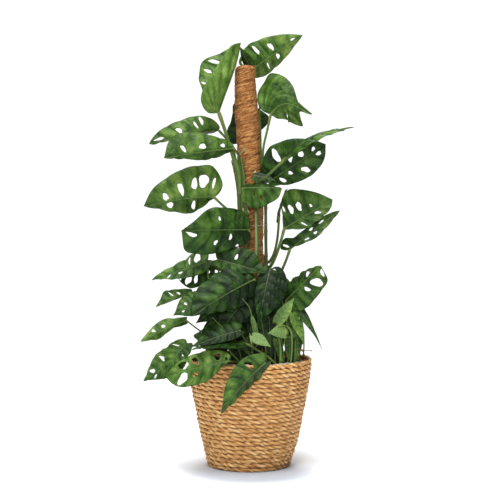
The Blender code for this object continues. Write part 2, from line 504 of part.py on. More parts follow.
def stalk_path(leaf, gap):
    """Path of the leaf stalk, from the side of its vine to just inside the blade."""
    vine, height, way = leaf["stem"]
    centre, radius, along = vine_at(vine, height)
    way = np.array([way[0], way[1], 0.0])
    out = unit(way - along * (way @ along))
    start = centre + out * (radius + gap)
    base = np.array(leaf["base"], float)
    if "via" in leaf:
        path = through([start, start + out * 5] + leaf["via"] + [base], 1)
    else:
        reach = np.linalg.norm(base - start)
        first = start + 0.14 * reach * (out + unit(base - start))
        last = base - 0.35 * reach * unit(base - start - out * 0.2 * reach)
        t = np.linspace(0, 1, 5)[:, None]
        path = ((1 - t) ** 3 * start + 3 * t * (1 - t) ** 2 * first
                + 3 * t ** 2 * (1 - t) * last + t ** 3 * base)
    length = np.linalg.norm(np.array(leaf["tip"]) - base)
    inside = midrib(leaf, np.array([SUNK / length]))[0]
    return np.vstack([path, inside]), out


def make(name, points, faces, material):
    """Object from points in millimetres and faces."""
    mesh = bpy.data.meshes.new(name)
    mesh.from_pydata([tuple(point) for point in np.asarray(points) * MM], [], [tuple(f) for f in faces])
    mesh.update()
    made = bpy.data.objects.new(name, mesh)
    bpy.context.scene.collection.objects.link(made)
    mesh.materials.append(material)
    return made


def material(name, colour, roughness):
    found = bpy.data.materials.new(name)
    found.use_nodes = True
    shader = found.node_tree.nodes["Principled BSDF"]
    shader.inputs["Base Color"].default_value = (*colour, 1)
    shader.inputs["Roughness"].default_value = roughness
    found.diffuse_color = (*colour, 1)
    return found


def combine(target, others, operation, solver):
    """Applies one Boolean of the other objects to the target and removes them."""
    group = bpy.data.collections.new("cutters")
    for other in others:
        group.objects.link(other)
    change = target.modifiers.new("combine", "BOOLEAN")
    change.operation = operation
    change.solver = solver
    change.operand_type = "COLLECTION"
    change.collection = group
    bpy.context.view_layer.update()
    mesh = bpy.data.meshes.new_from_object(target.evaluated_get(bpy.context.evaluated_depsgraph_get()))
    target.modifiers.clear()
    target.data = mesh
    bpy.data.collections.remove(group)
    for other in others:
        bpy.data.objects.remove(other)


def lathe(profile, sides):
    """Solid of revolution from (radius, height) points, with a flat cap over its first and last point."""
    turn = 2 * np.pi * (np.arange(sides) + 0.5) / sides
    points = [(r * math.cos(a), r * math.sin(a), z) for r, z in profile for a in turn]
    return ring_solid(points, len(profile), sides)


def basket_radius(height):
    heights, radii = zip(*BASKET_PROFILE)
    return float(np.interp(height, heights, radii))


def inner_radius(height):
    radii = [basket_radius(z) - BASKET_WALL - ROW_DEPTH for z in INNER_HEIGHTS]
    return float(np.interp(height, INNER_HEIGHTS, radii))


def basket(fabric):
    """Open basket with a flat floor; its outside is ridged, one ridge for each row of rope."""
    top = BASKET_PROFILE[-1][0]
    pitch = top / BASKET_ROWS
    profile = [(basket_radius(0) - ROW_DEPTH, 0.0)]
    for row in range(BASKET_ROWS):
        middle = (row + 0.5) * pitch
        profile.append((basket_radius(middle), middle))
        end = (row + 1) * pitch
        profile.append((basket_radius(end) - ROW_DEPTH, end))
    profile += [(inner_radius(z), z) for z in INNER_HEIGHTS[::-1]]
    make("basket", *lathe(profile, BASKET_SIDES), fabric)


def vessel(name, top, bottom, gap, wall, look):
    """Thin open vessel that follows the inside of the basket, a gap in from it."""
    heights = [bottom, *INNER_HEIGHTS[1:-1], top]
    outer = [(inner_radius(z) - gap, z) for z in heights]
    inner = [(r - wall, max(z, bottom + wall)) for r, z in outer][::-1]
    make(name, *lathe(outer + inner, BASKET_SIDES), look)


def pole_points(radius_of, top, bottom, sides):
    """Rings of the leaning pole between two heights, from the bottom up."""
    rows = [row for row in POLE if bottom < row[2] < top]
    heights = [bottom] + [row[2] for row in rows[::-1]] + [top]
    table = np.array(POLE[::-1], float)
    turn = 2 * np.pi * (np.arange(sides) + 0.5) / sides
    points = []
    for z in heights:
        x = np.interp(z, table[:, 2], table[:, 0])
        r = radius_of(np.interp(z, table[:, 2], table[:, 1]))
        points.extend((x + r * math.cos(a), r * math.sin(a), z) for a in turn)
    return points, len(heights)


def ring_solid(points, rows, sides):
    faces = [tuple(range(sides))[::-1], tuple(range((rows - 1) * sides, rows * sides))]
    for k in range(rows - 1):
        for s in range(sides):
            a, b = k * sides + s, k * sides + (s + 1) % sides
            faces.append((a, b, b + sides, a + sides))
    return points, faces


def pole(coir, wood):
    """Coir sleeve with a wooden core standing in it from below."""
    top, bottom = POLE[0][2], POLE[-1][2]
    points, rows = pole_points(lambda r: r, top, bottom, POLE_SIDES)
    sleeve = make("coir_sleeve", *ring_solid(points, rows, POLE_SIDES), coir)
    reach = top - 12
    points, rows = pole_points(lambda r: CORE_RADIUS + SEAT, reach + SEAT, bottom - 5, CORE_SIDES)
    bore = make("bore", *ring_solid(points, rows, CORE_SIDES), wood)
    combine(sleeve, [bore], "DIFFERENCE", "MANIFOLD")
    points, rows = pole_points(lambda r: CORE_RADIUS, reach, bottom, CORE_SIDES)
    make("pole_core", *ring_solid(points, rows, CORE_SIDES), wood)


def vine_solid(name, grow, look):
    points, foot, top = VINES[name]
    path = through(points, 2)
    share = (path[:, 2] - path[0, 2]) / (path[-1, 2] - path[0, 2])
    radii = foot + (top - foot) * share + grow
    return make(name, *tube(path, radii, VINE_SIDES), look)


def soil(earth):
    """Soil with a plain hole for the pole and for each stem."""
    inset = 2 * SEAT + LINER_WALL + POT_WALL + SEAT
    heights = [BASKET_FLOOR + inset, *INNER_HEIGHTS[1:-1], SOIL_TOP]
    profile = [(inner_radius(z) - inset, z) for z in heights]
    made = make("soil", *lathe(profile, BASKET_SIDES), earth)
    points, rows = pole_points(lambda r: r + SEAT, SOIL_TOP + 5, POLE[-1][2] - SEAT, POLE_SIDES)
    cutters = [make("pole_hole", *ring_solid(points, rows, POLE_SIDES), earth)]
    for name, (axis, foot, _) in VINES.items():
        x, y, z = axis[0]
        turn = 2 * np.pi * np.arange(8) / 8
        r = foot + 1.0
        rings = [(x + r * math.cos(a), y + r * math.sin(a), height)
                 for height in (z - SEAT, SOIL_TOP + 5) for a in turn]
        cutters.append(make(name + "_hole", *ring_solid(rings, 2, 8), earth))
    combine(made, cutters, "DIFFERENCE", "MANIFOLD")


def leaf_solid(name, leaf, green, gap):
    """Blade and stalk of a leaf as one solid; the stalk starts a gap away from its vine."""
    points, faces = blade_surface(leaf)
    blade = make(name, *thickened(points, faces, BLADE), green)
    path, out = stalk_path(leaf, gap)
    size = min(max(max(leaf["width"]) / 45, 0.6), 1.0)
    radii = size * np.linspace(STALK_FOOT, STALK_TOP, len(path))
    stalk = make(name + "_stalk", *tube(path, radii, STALK_SIDES, out), green)
    combine(blade, [stalk], "UNION", "MANIFOLD")
    return blade


def hull(points):
    """Convex hull of points in the plane, anticlockwise."""
    points = sorted(map(tuple, points))
    chains = []
    for ordered in (points, points[::-1]):
        chain = []
        for point in ordered:
            while len(chain) > 1:
                (ax, ay), (bx, by) = chain[-2:]
                if (bx - ax) * (point[1] - ay) - (by - ay) * (point[0] - ax) > 0:
                    break
                chain.pop()
            chain.append(point)
        chains.append(chain[:-1])
    return chains[0] + chains[1]


def cord(look):
    """Thin cord round the pole and the four vines that climb it."""
    table = np.array(POLE[::-1], float)
    circles = [(np.interp(CORD_HEIGHT, table[:, 2], table[:, 0]), 0, 23.5)]
    for name in ("vine_left", "vine_front", "vine_right", "vine_back"):
        centre, radius, _ = vine_at(name, CORD_HEIGHT)
        circles.append((centre[0], centre[1], radius))
    grow = CORD_RADIUS + SEAT
    turn = 2 * np.pi * np.arange(12) / 12
    reach = 1 / math.cos(math.pi / 12)
    rim = [(x + (r + grow) * reach * math.cos(a), y + (r + grow) * reach * math.sin(a))
           for x, y, r in circles for a in turn]
    loop = np.array(hull(rim))
    ahead = unit(np.roll(loop, -1, axis=0) - loop)
    behind = unit(loop - np.roll(loop, 1, axis=0))
    out = unit(np.stack([ahead[:, 1] + behind[:, 1], -ahead[:, 0] - behind[:, 0]], -1))
    r = CORD_RADIUS
    section = [(r, 0), (0, r), (-r, 0), (0, -r)]
    points = [(x + ox * a, y + oy * a, CORD_HEIGHT + b)
              for (x, y), (ox, oy) in zip(loop, out) for a, b in section]
    faces = []
    count = len(loop)
    for k in range(count):
        for s in range(4):
            a, b = k * 4 + s, k * 4 + (s + 1) % 4
            c, d = (k + 1) % count * 4 + (s + 1) % 4, (k + 1) % count * 4 + s
            faces.append((a, d, c, b))
    return make("tie_cord", points, faces, look)


def main():
    for old in list(bpy.data.objects):
        bpy.data.objects.remove(old)
    seagrass = material("seagrass", (.62, .40, .18), .8)
    film = material("film", (.85, .85, .82), .3)
    black = material("black_plastic", (.03, .03, .03), .5)
    earth = material("earth", (.05, .03, .02), .95)
    coir = material("coir", (.42, .20, .08), .95)
    wood = material("wood", (.45, .30, .16), .7)
    stem = material("stem", (.25, .35, .08), .5)
    green = material("leaf_green", (.08, .25, .04), .45)
    twine = material("twine", (.75, .70, .60), .7)
    basket(seagrass)
    vessel("plastic_liner", LINER_TOP, BASKET_FLOOR + SEAT, SEAT, LINER_WALL, film)
    pot_gap = 2 * SEAT + LINER_WALL
    vessel("grow_pot", POT_TOP, BASKET_FLOOR + pot_gap, pot_gap, POT_WALL, black)
    soil(earth)
    pole(coir, wood)
    cord(twine)
    for name in VINES:
        made = vine_solid(name, 0, stem)
        if name in SMALL_LEAVES:
            small = [leaf_solid(leaf, LEAVES[leaf], green, -2.0) for leaf in SMALL_LEAVES[name]]
            combine(made, small, "UNION", "MANIFOLD")
    fused = {leaf for leaves in SMALL_LEAVES.values() for leaf in leaves}
    for name, leaf in LEAVES.items():
        if name not in fused:
            leaf_solid(name, leaf, green, SEAT)


main()
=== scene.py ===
import math

import bpy
import numpy as np
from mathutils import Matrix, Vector


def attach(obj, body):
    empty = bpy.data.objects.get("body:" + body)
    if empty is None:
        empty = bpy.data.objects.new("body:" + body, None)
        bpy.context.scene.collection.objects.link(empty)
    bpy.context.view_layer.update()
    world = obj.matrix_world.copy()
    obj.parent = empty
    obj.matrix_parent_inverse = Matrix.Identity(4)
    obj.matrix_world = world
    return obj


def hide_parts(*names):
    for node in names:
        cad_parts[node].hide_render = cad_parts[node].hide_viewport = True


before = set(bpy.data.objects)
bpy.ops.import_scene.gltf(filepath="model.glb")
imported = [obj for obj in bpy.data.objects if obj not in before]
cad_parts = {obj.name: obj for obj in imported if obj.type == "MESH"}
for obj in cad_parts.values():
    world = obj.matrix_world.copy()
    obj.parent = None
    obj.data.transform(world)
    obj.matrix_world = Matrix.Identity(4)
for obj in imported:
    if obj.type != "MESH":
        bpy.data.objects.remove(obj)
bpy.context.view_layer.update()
scene = bpy.context.scene

# Camera, floor and light
# The plant stands on a white studio floor in a white room. A large soft light hangs high at the
# front left, a weaker one behind the camera, and a narrow one behind lights the leaf edges. The
# camera stands at the height of the upper leaves and looks a little down, at the plant's middle.
EYE = (0.0, -3.4, 0.662)
AIM = (0.0, 0.0, 0.4231)
LENS = 125.7
LAMPS = {"key_light": ((-0.35, -1.0, 3.1), (0, 0, 0.35), 1.8, 128),
         "front_light": ((-0.5, -3.3, 1.3), (0, 0, 0.40), 1.6, 34),
         "back_light": ((0.5, 1.9, 2.2), (0, 0, 0.60), 0.9, 20)}
ROOM_LIGHT = 0.30
ROOM_SEEN = 1.1
ROOM_TINT = (0.98, 1.0, 0.93)
FLOOR_RADIUS = 1.2
FLOOR_SIDES = 64
FLOOR_PAINTED_GLOW = 0.55
FLOOR_PAINTED_SHADOW = (0.47, 0.50, 0.56)
FLOOR_FAR = (0.86, 0.90, 0.97)
# Where the floor's painted glow and its painted contact shadow fade: centre, stretch, and the distances near
# and far.
PAINTED_GLOW_FADE = ((0, -0.11, 0), (1, 1, 1), 0.10, 0.40)
PAINTED_SHADOW_FADE = ((0.006, -0.09, 0), (0.8, 1, 1), 0.06, 0.13)


def turned_to(place, target):
    """Rotation that points an object's -Z axis from place at target."""
    return (Vector(target) - Vector(place)).to_track_quat("-Z", "Y").to_euler()


def add(tree, kind, inputs=None, **settings):
    """A shader node. An input takes a number, a colour, or the output of another node."""
    made = tree.nodes.new("ShaderNode" + kind)
    for key, value in settings.items():
        setattr(made, key, value)
    for key, value in (inputs or {}).items():
        if isinstance(value, bpy.types.NodeSocket):
            tree.links.new(value, made.inputs[key])
        else:
            made.inputs[key].default_value = value
    return made


def blend(tree, factor, first, second, kind="MIX"):
    """Two colours mixed by factor, each given as an output or as three numbers."""
    first, second = ((*c, 1) if isinstance(c, tuple) else c for c in (first, second))
    return add(tree, "Mix", {0: factor, 6: first, 7: second}, data_type="RGBA", blend_type=kind).outputs[2]


def span(tree, value, low, high, start=0.0, end=1.0, kind="LINEAR"):
    """Value taken from the range low to high to the range start to end, and kept inside it."""
    ends = {0: value, 1: low, 2: high, 3: start, 4: end}
    return add(tree, "MapRange", ends, interpolation_type=kind).outputs[0]


def object_place(tree):
    """The place on the object, in metres, as a shader value."""
    return add(tree, "TexCoord").outputs["Object"]


def finish(name, roughness, specular=0.5):
    """A new material, its node tree and its Principled shader, with the even values set on the shader."""
    made = bpy.data.materials.new(name)
    made.use_nodes = True
    shader = made.node_tree.nodes["Principled BSDF"]
    shader.inputs["Roughness"].default_value = roughness
    shader.inputs["Specular IOR Level"].default_value = specular
    return made, made.node_tree, shader


def fading(tree, centre, stretch, near, far, high=1.0):
    """Value on the floor: 0 as far from centre as near, rising smoothly to high at the distance far."""
    shift = [-c * s for c, s in zip(centre, stretch)]
    moved = add(tree, "VectorMath", {0: object_place(tree), 1: stretch, 2: shift}, operation="MULTIPLY_ADD")
    away = add(tree, "VectorMath", {0: moved.outputs[0]}, operation="LENGTH").outputs["Value"]
    return span(tree, away, near, far, 0.0, high, "SMOOTHSTEP")


camera = bpy.data.objects.new("camera", bpy.data.cameras.new("camera"))
camera.data.sensor_width = 36
camera.data.lens = LENS
camera.location = EYE
camera.rotation_euler = turned_to(EYE, AIM)
scene.collection.objects.link(camera)
scene.camera = camera
scene.view_settings.view_transform = "Standard"

for name, (place, target, size, power) in LAMPS.items():
    lamp = bpy.data.objects.new(name, bpy.data.lights.new(name, "AREA"))
    lamp.data.size = size
    lamp.data.energy = power
    lamp.location = place
    lamp.rotation_euler = turned_to(place, target)
    scene.collection.objects.link(lamp)

room = bpy.data.worlds.new("white_room")
room.use_nodes = True
tree = room.node_tree
is_seen = add(tree, "LightPath").outputs["Is Camera Ray"]
background = tree.nodes["Background"].inputs
tree.links.new(span(tree, is_seen, 0, 1, ROOM_LIGHT, ROOM_SEEN), background["Strength"])
tree.links.new(blend(tree, is_seen, ROOM_TINT, (1, 1, 1)), background["Color"])
scene.world = room

# The floor has painted light: its colour darkens near the basket into a painted contact shadow, and it glows
# more the further it is from the basket.
white, tree, shader = finish("white_floor", 0.95, 0.0)
shader.inputs["Emission Color"].default_value = (1, 1, 1, 1)
tree.links.new(fading(tree, *PAINTED_GLOW_FADE, FLOOR_PAINTED_GLOW), shader.inputs["Emission Strength"])
tree.links.new(blend(tree, fading(tree, *PAINTED_SHADOW_FADE), FLOOR_PAINTED_SHADOW, FLOOR_FAR), shader.inputs["Base Color"])
angle = np.linspace(0, 2 * np.pi, FLOOR_SIDES, endpoint=False)
floor_points = FLOOR_RADIUS * np.stack([np.cos(angle), np.sin(angle), 0 * angle], -1)
floor_mesh = bpy.data.meshes.new("studio_floor")
floor_mesh.from_pydata(floor_points.tolist(), [], [list(range(FLOOR_SIDES))])
floor_mesh.materials.append(white)
studio_floor = bpy.data.objects.new("studio_floor", floor_mesh)
scene.collection.objects.link(studio_floor)


# Basket
# Dried seagrass, two strands twisted into a rope. The rope lies in twenty-four rows round a wall of
# thin stakes and in rings on the floor, each row sewn to the one below. Lengths from here on are in mm.
MM = 0.001
BASKET_PROFILE = [(0, 80), (5, 84), (20, 87), (44.5, 93), (74, 99.5), (100, 104.5), (157, 115.5), (195, 120),
                  (212, 120.5)]
BASKET_TOP = 212.0
ROPE_ROWS = 24
ROPE_HALF_OUT = 3.75
ROPE_HALF_UP = 4.6
ROPE_PROUD = 1.0
STRAND_RADIUS = 0.61
STRAND_SHIFT = 0.39
STRAND_LENGTH = 17.0
STEPS_A_TURN = 14
# How far a row of rope wavers: the turn of its strands in radians, their size as a share, and its place.
TURN_WAVER, SWELL_WAVER, OUT_WAVER, UP_WAVER = 0.45, 0.05, 0.24, 0.33
FLOOR_RINGS = 8
RING_RADIUS = 74.5
RING_APART = 8.9
RING_HEIGHT, RING_HALF_OUT, RING_HALF_UP = 3.6, 4.6, 3.4
STAKES = 48
STAKE_SPAN = (4, 208)
STAKE_HALF = 0.5
STAKE_WAVE = 0.35
LOWEST_ROW_DARKER = 0.5
PRESSED = 5.5
PRESSED_BELOW = 50.0


def put(name, shape, material, slot_name, *replaced):
    """A piece of the object from a shape in millimetres: its points, its faces and the marks on its points.

    A shape is a dict: points (n, 3); faces, a list of arrays of corner numbers; uv, a list with two
    numbers for each of those corners; and marks, one number for each point."""
    mesh = bpy.data.meshes.new(name)
    corners = np.concatenate([part.ravel() for part in shape["faces"]]).astype(np.int32)
    sizes = np.concatenate([np.full(len(part), part.shape[1]) for part in shape["faces"]])
    starts = np.concatenate([[0], np.cumsum(sizes)[:-1]]).astype(np.int32)
    mesh.vertices.add(len(shape["points"]))
    mesh.vertices.foreach_set("co", (shape["points"] * MM).ravel())
    mesh.loops.add(len(corners))
    mesh.loops.foreach_set("vertex_index", corners)
    mesh.polygons.add(len(sizes))
    mesh.polygons.foreach_set("loop_start", starts)
    mesh.polygons.foreach_set("use_smooth", np.ones(len(sizes), bool))
    mesh.update(calc_edges=True)
    flat = np.concatenate([part.reshape(-1, 2) for part in shape["uv"]])
    mesh.uv_layers.new(name="UVMap").data.foreach_set("uv", flat.ravel())
    for key, values in shape["marks"].items():
        mesh.attributes.new(key, "FLOAT", "POINT").data.foreach_set("value", values)
    mesh.materials.append(material)
    piece = bpy.data.objects.new(name, mesh)
    scene.collection.objects.link(piece)
    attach(piece, "root")
    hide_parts(*replaced)


def marked(shape, **marks):
    """The shape with marks added: each is one number for the whole shape or one for each point."""
    count = len(shape["points"])
    new = {key: np.broadcast_to(np.ravel(value), count).astype(float) for key, value in marks.items()}
    return {**shape, "marks": {**shape["marks"], **new}}


def joined(shapes):
    """Several shapes as one; a shape without one of the marks gets zeros there."""
    counts = np.cumsum([0] + [len(shape["points"]) for shape in shapes])
    keys = sorted({key for shape in shapes for key in shape["marks"]})
    marks = {key: np.concatenate([shape["marks"].get(key, np.zeros(len(shape["points"])))
                                  for shape in shapes]) for key in keys}
    faces = [part + start for shape, start in zip(shapes, counts) for part in shape["faces"]]
    uv = [part for shape in shapes for part in shape["uv"]]
    points = np.vstack([shape["points"] for shape in shapes])
    return {"points": points, "faces": faces, "uv": uv, "marks": marks}


def sheet(points, size=(1.0, 1.0), start=(0.0, 0.0), loop=(False, True), **marks):
    """Shape of a grid of points (rows, columns, 3). Faces look along rows x columns; loop joins the ends.

    The UV map is size times the share of the way through the rows and columns, plus start."""
    rows, columns = points.shape[:2]
    count = (rows - 1 + loop[0], columns - 1 + loop[1])
    i, j = np.meshgrid(np.arange(count[0]), np.arange(count[1]), indexing="ij")
    i, j = (np.stack([part, part + a, part + b, part + c], -1).reshape(-1, 4)
            for part, (a, b, c) in ((i, (1, 1, 0)), (j, (0, 1, 1))))
    quads = (i % rows) * columns + j % columns
    uv = np.stack([start[0] + size[0] * i / count[0], start[1] + size[1] * j / count[1]], -1)
    return marked({"points": points.reshape(-1, 3), "faces": [quads], "uv": [uv], "marks": {}}, **marks)


def turned(radius, angle, height, centre=0):
    """Points at a distance and an angle round the upright line through (centre, 0), at a height."""
    across, deep = radius * np.cos(angle), radius * np.sin(angle)
    return np.stack(np.broadcast_arrays(centre + across, deep, height), -1)


def turn_of(count):
    """Angles of a full turn in count equal steps."""
    return np.linspace(0, 2 * np.pi, count, endpoint=False)


def waver(t, counts, size, rng):
    """Closed random curve over t from 0 to 1: a sum of sine waves, counts of them to the turn."""
    return sum(rng.uniform(0.5, 1) * size * np.sin(2 * np.pi * (k * t + rng.random())) for k in counts)


def profile_radius(height):
    """Outer radius of the basket: straight lines between the profile's points."""
    return np.interp(height, *zip(*BASKET_PROFILE))


def rope_ring(radius, height, half_out, half_up, seed):
    """One row of rope: the outline of two round strands side by side, turned as it is carried round.

    The outline is flattened to half_out and half_up, and the row wavers a little up, down and in. Near
    the foot the basket is pressed in on its right side, by PRESSED times a share that falls to 0 at
    PRESSED_BELOW with the power 1.4."""
    rng = np.random.default_rng(seed)
    turns = max(2, round(math.pi * radius / STRAND_LENGTH))
    t = np.arange(turns * STEPS_A_TURN) / (turns * STEPS_A_TURN)
    reach = math.acos(-STRAND_SHIFT / STRAND_RADIUS)
    angle = np.tile(np.linspace(-reach, reach, 6)[:-1], 2)
    shift = np.repeat([1.0, -1.0], 5)
    across = shift * (STRAND_SHIFT + STRAND_RADIUS * np.cos(angle))
    along = shift * STRAND_RADIUS * np.sin(angle)
    turn = -2 * np.pi * (turns * t + rng.random()) + waver(t, (2, 5, 9, 14, 19), TURN_WAVER, rng)
    swell = 1 + waver(t, (turns - 1, turns + 4, 2 * turns + 3, 37), SWELL_WAVER, rng)
    cos, sin = np.cos(turn)[:, None], np.sin(turn)[:, None]
    out = (across * cos - along * sin) * swell[:, None]
    up = (across * sin + along * cos) * swell[:, None]
    round_way = (np.pi / 2 + 2 * np.pi * t)[:, None]
    low = max(1 - height / PRESSED_BELOW, 0) ** 1.4
    pressed = PRESSED * low * np.maximum(np.cos(round_way), 0) ** 1.5
    r = radius - pressed + half_out * out + waver(t, (3, 7, 13, 22), OUT_WAVER, rng)[:, None]
    z = height + half_up * up + waver(t, (4, 9, 17, 28), UP_WAVER, rng)[:, None]
    points = turned(r, round_way, np.maximum(z, 0.05))
    size, start = (2 * math.pi * radius / 100, 0.35), (rng.random() * 9, rng.random() * 9)
    # groove marks the crease between the two strands, and inside marks the side of the rope that faces in and
    # the gaps between rows; the seagrass material paints shade on both.
    return sheet(points, size, start, (True, True), groove=np.tile([1, 0.2, 0, 0, 0.2], 2 * len(t)),
                 inside=np.clip(0.3 - 0.75 * out, 0, 1))


def stake_wall(low, high):
    """Closed shell of thin upright stakes inside the rows: a circle with one small wave for each stake."""
    heights = np.linspace(low, high, 12)[:, None]
    angle = turn_of(4 * STAKES)
    wave = STAKE_WAVE * np.cos(STAKES * angle)
    middle = profile_radius(heights) - ROPE_HALF_OUT
    outer, inner = middle + STAKE_HALF + wave, middle - STAKE_HALF - wave
    loop = np.concatenate([turned(outer, angle, heights), turned(inner, angle, heights)[::-1]])
    # The stakes take the same painted shade: inside and groove darken them.
    return sheet(loop[::-1], loop=(True, True), inside=0.7, groove=0.3)


def shade(tree, factor, *stops):
    """Colour that runs through the stops (place, colour) as factor goes from 0 to 1."""
    made = add(tree, "ValToRGB", {0: factor})
    elements = made.color_ramp.elements
    while len(elements) < len(stops):
        elements.new(0.5)
    for element, (place, colour) in zip(elements, stops):
        element.position = place
        element.color = (*colour, 1)
    return made.outputs[0]


def mark(tree, name):
    """The mark of that name that put stored on the points."""
    return add(tree, "Attribute", attribute_name=name).outputs["Fac"]


def noise(tree, place, scale, detail=2.0, distortion=0.0):
    """Cloudy noise from 0 to 1 at place times scale."""
    inputs = {"Vector": place, "Scale": scale, "Detail": detail, "Distortion": distortion}
    return add(tree, "TexNoise", inputs).outputs[0]


def scaled(tree, place, factors):
    """Place times factors, axis by axis."""
    return add(tree, "VectorMath", {0: place, 1: factors}, operation="MULTIPLY").outputs[0]


def paint(shader, colour, height, depth, strength=1.0):
    """Colour on the shader, and a bump from height, of the given depth in metres, on its normal."""
    tree = shader.id_data
    bump = add(tree, "Bump", {"Height": height, "Strength": strength, "Distance": depth})
    tree.links.new(colour, shader.inputs["Base Color"])
    tree.links.new(bump.outputs[0], shader.inputs["Normal"])


def strand_group():
    """Fine streaks along a strand and slow patches of colour, from a UV map in units of 100 mm."""
    tree = bpy.data.node_groups.new("strand_streaks", "ShaderNodeTree")
    for name in ("Length", "Fineness", "Patches"):
        tree.interface.new_socket(name, in_out="INPUT", socket_type="NodeSocketFloat")
    for name in ("Streak", "Patch"):
        tree.interface.new_socket(name, in_out="OUTPUT", socket_type="NodeSocketFloat")
    given = tree.nodes.new("NodeGroupInput").outputs
    result = tree.nodes.new("NodeGroupOutput")
    place = add(tree, "UVMap").outputs[0]
    scale = add(tree, "CombineXYZ", {0: given["Length"], 1: given["Fineness"]}).outputs[0]
    tree.links.new(noise(tree, scaled(tree, place, scale), 1.0, 3.0), result.inputs["Streak"])
    tree.links.new(noise(tree, place, given["Patches"]), result.inputs["Patch"])
    return tree


strand_streaks = strand_group()


def streaks(tree, length, fineness, patches):
    """The streak and the patch of the group above, with its three scales given."""
    values = {"Length": length, "Fineness": fineness, "Patches": patches}
    made = add(tree, "Group", node_tree=strand_streaks)
    for key, value in values.items():
        made.inputs[key].default_value = value
    return made.outputs["Streak"], made.outputs["Patch"]


seagrass, tree, shader = finish("seagrass", 0.6, 0.3)
streak, patch = streaks(tree, 5.0, 130.0, 5.0)
straw = shade(tree, patch, (0.32, (0.48, 0.22, 0.065)), (0.44, (0.64, 0.33, 0.11)),
              (0.55, (0.76, 0.44, 0.17)), (0.68, (0.86, 0.58, 0.28)))
fine = shade(tree, streak, (0.3, (0.74, 0.62, 0.48)), (0.6, (1, 1, 1)))
worn = blend(tree, 0.7, straw, fine, "MULTIPLY")
# Painted shade: darker in the crease between the strands, darkest on the rope's inward side and between the
# rows.
crease_shaded = blend(tree, span(tree, mark(tree, "groove"), 0.15, 1.0, 0, 0.64), worn, (0.25, 0.105, 0.03))
paint(shader, blend(tree, mark(tree, "inside"), crease_shaded, (0.13, 0.055, 0.018)), streak, 0.0006, 0.6)

rows = []
for row in range(ROPE_ROWS):
    middle = (row + 0.5) * (BASKET_TOP / ROPE_ROWS)
    outer = profile_radius(middle) - ROPE_HALF_OUT + ROPE_PROUD
    rows.append(rope_ring(outer, middle, ROPE_HALF_OUT, ROPE_HALF_UP, row))
# The lowest row gets at least this share of the painted crease shade, so it is darker all over.
rows[0] = marked(rows[0], groove=np.maximum(rows[0]["marks"]["groove"], LOWEST_ROW_DARKER))
rings = [rope_ring(RING_RADIUS - RING_APART * ring, RING_HEIGHT, RING_HALF_OUT, RING_HALF_UP, 100 + ring)
         for ring in range(FLOOR_RINGS)]
put("seagrass_basket", joined(rows + rings + [stake_wall(*STAKE_SPAN)]), seagrass, "seagrass", "basket")


# Plastic film
# A sleeve of thin clear film keeps the basket dry. It is cut by hand a little above the rim at the
# front and lower at the back, so its edge is wrinkled and shows as a pale line.
FILM_EDGE = 212.4
FILM_DROP = 26.0
FILM_WRINKLE = 0.8
FILM_RUFFLE = 0.25
FILM_WALL = 0.5
FILM_STEPS = 180
EDGE_ZONE = 14
FLOOR_TOP = 7.0
WALL_HEIGHTS = (7.0, 40.0, 100.0, 157.0, 212.0)
WALL_DEPTH = 7.5
GAP = 0.35


def bore_radius(height):
    """Inner radius of the basket's wall: straight lines between the given heights."""
    return np.interp(height, WALL_HEIGHTS, [profile_radius(z) - WALL_DEPTH for z in WALL_HEIGHTS])


def vessel(heights, radii, wall, steps, edge=0.0, ruffle=0.0, drop=0.0):
    """Closed thin vessel round the z axis: up the outside, over the rim and down the inside to the floor.

    Near the rim the height gets edge and the radius gets ruffle times a closed random curve, and from
    the front to the back the rim comes down by drop."""
    low, high = heights[0], heights[-1]
    r = np.concatenate([[0.01], radii, radii[::-1] - wall, [0.01]])[:, None]
    z = np.concatenate([[low], heights, np.maximum(heights[::-1], low + wall), [low + wall]])[:, None]
    t = np.arange(steps) / steps
    rng = np.random.default_rng(round(low * 1000))
    near = np.clip((z - (high - EDGE_ZONE)) / EDGE_ZONE, 0, 1) ** 2
    back = np.clip(0.45 + 0.9 * np.sin(2 * np.pi * t), 0, 1) ** 1.2
    share = np.clip((z - low) / (high - low), 0, 1)
    z = z - drop * back * share + near * edge * waver(t, (5, 9, 17, 31, 52), 0.5, rng)
    r = r + near * ruffle * waver(t, (7, 15, 29, 43), 0.5, rng)
    return sheet(turned(r, 2 * np.pi * t, z)[:, ::-1], (len(r), 7.0))


film, tree, shader = finish("clear_film", 0.22, 0.5)
cloud = noise(tree, object_place(tree), 55.0)
paint(shader, shade(tree, cloud, (0.35, (0.36, 0.32, 0.24)), (0.65, (0.62, 0.58, 0.49))), cloud, 0.001, 0.5)
film_heights = np.concatenate([[FLOOR_TOP + GAP], np.linspace(12, 198, 12), np.linspace(202, FILM_EDGE, 6)])
film_radii = bore_radius(film_heights) - GAP
film_shape = vessel(film_heights, film_radii, FILM_WALL, FILM_STEPS, FILM_WRINKLE, FILM_RUFFLE, FILM_DROP)
put("plastic_film", film_shape, film, "film", "plastic_liner")


# Nursery pot
# The plant still grows in its black pot, blown from thin plastic, with a rolled rim.
POT_BOTTOM = 8.5
POT_INSET = 1.5
POT_WALL = 1.4
POT_STEPS = 120
POT_RIM = (190, 194, 196, 198, 199.4, 200)
POT_ROLL = (0, 0, 0, 0, 0.3, 0.9)

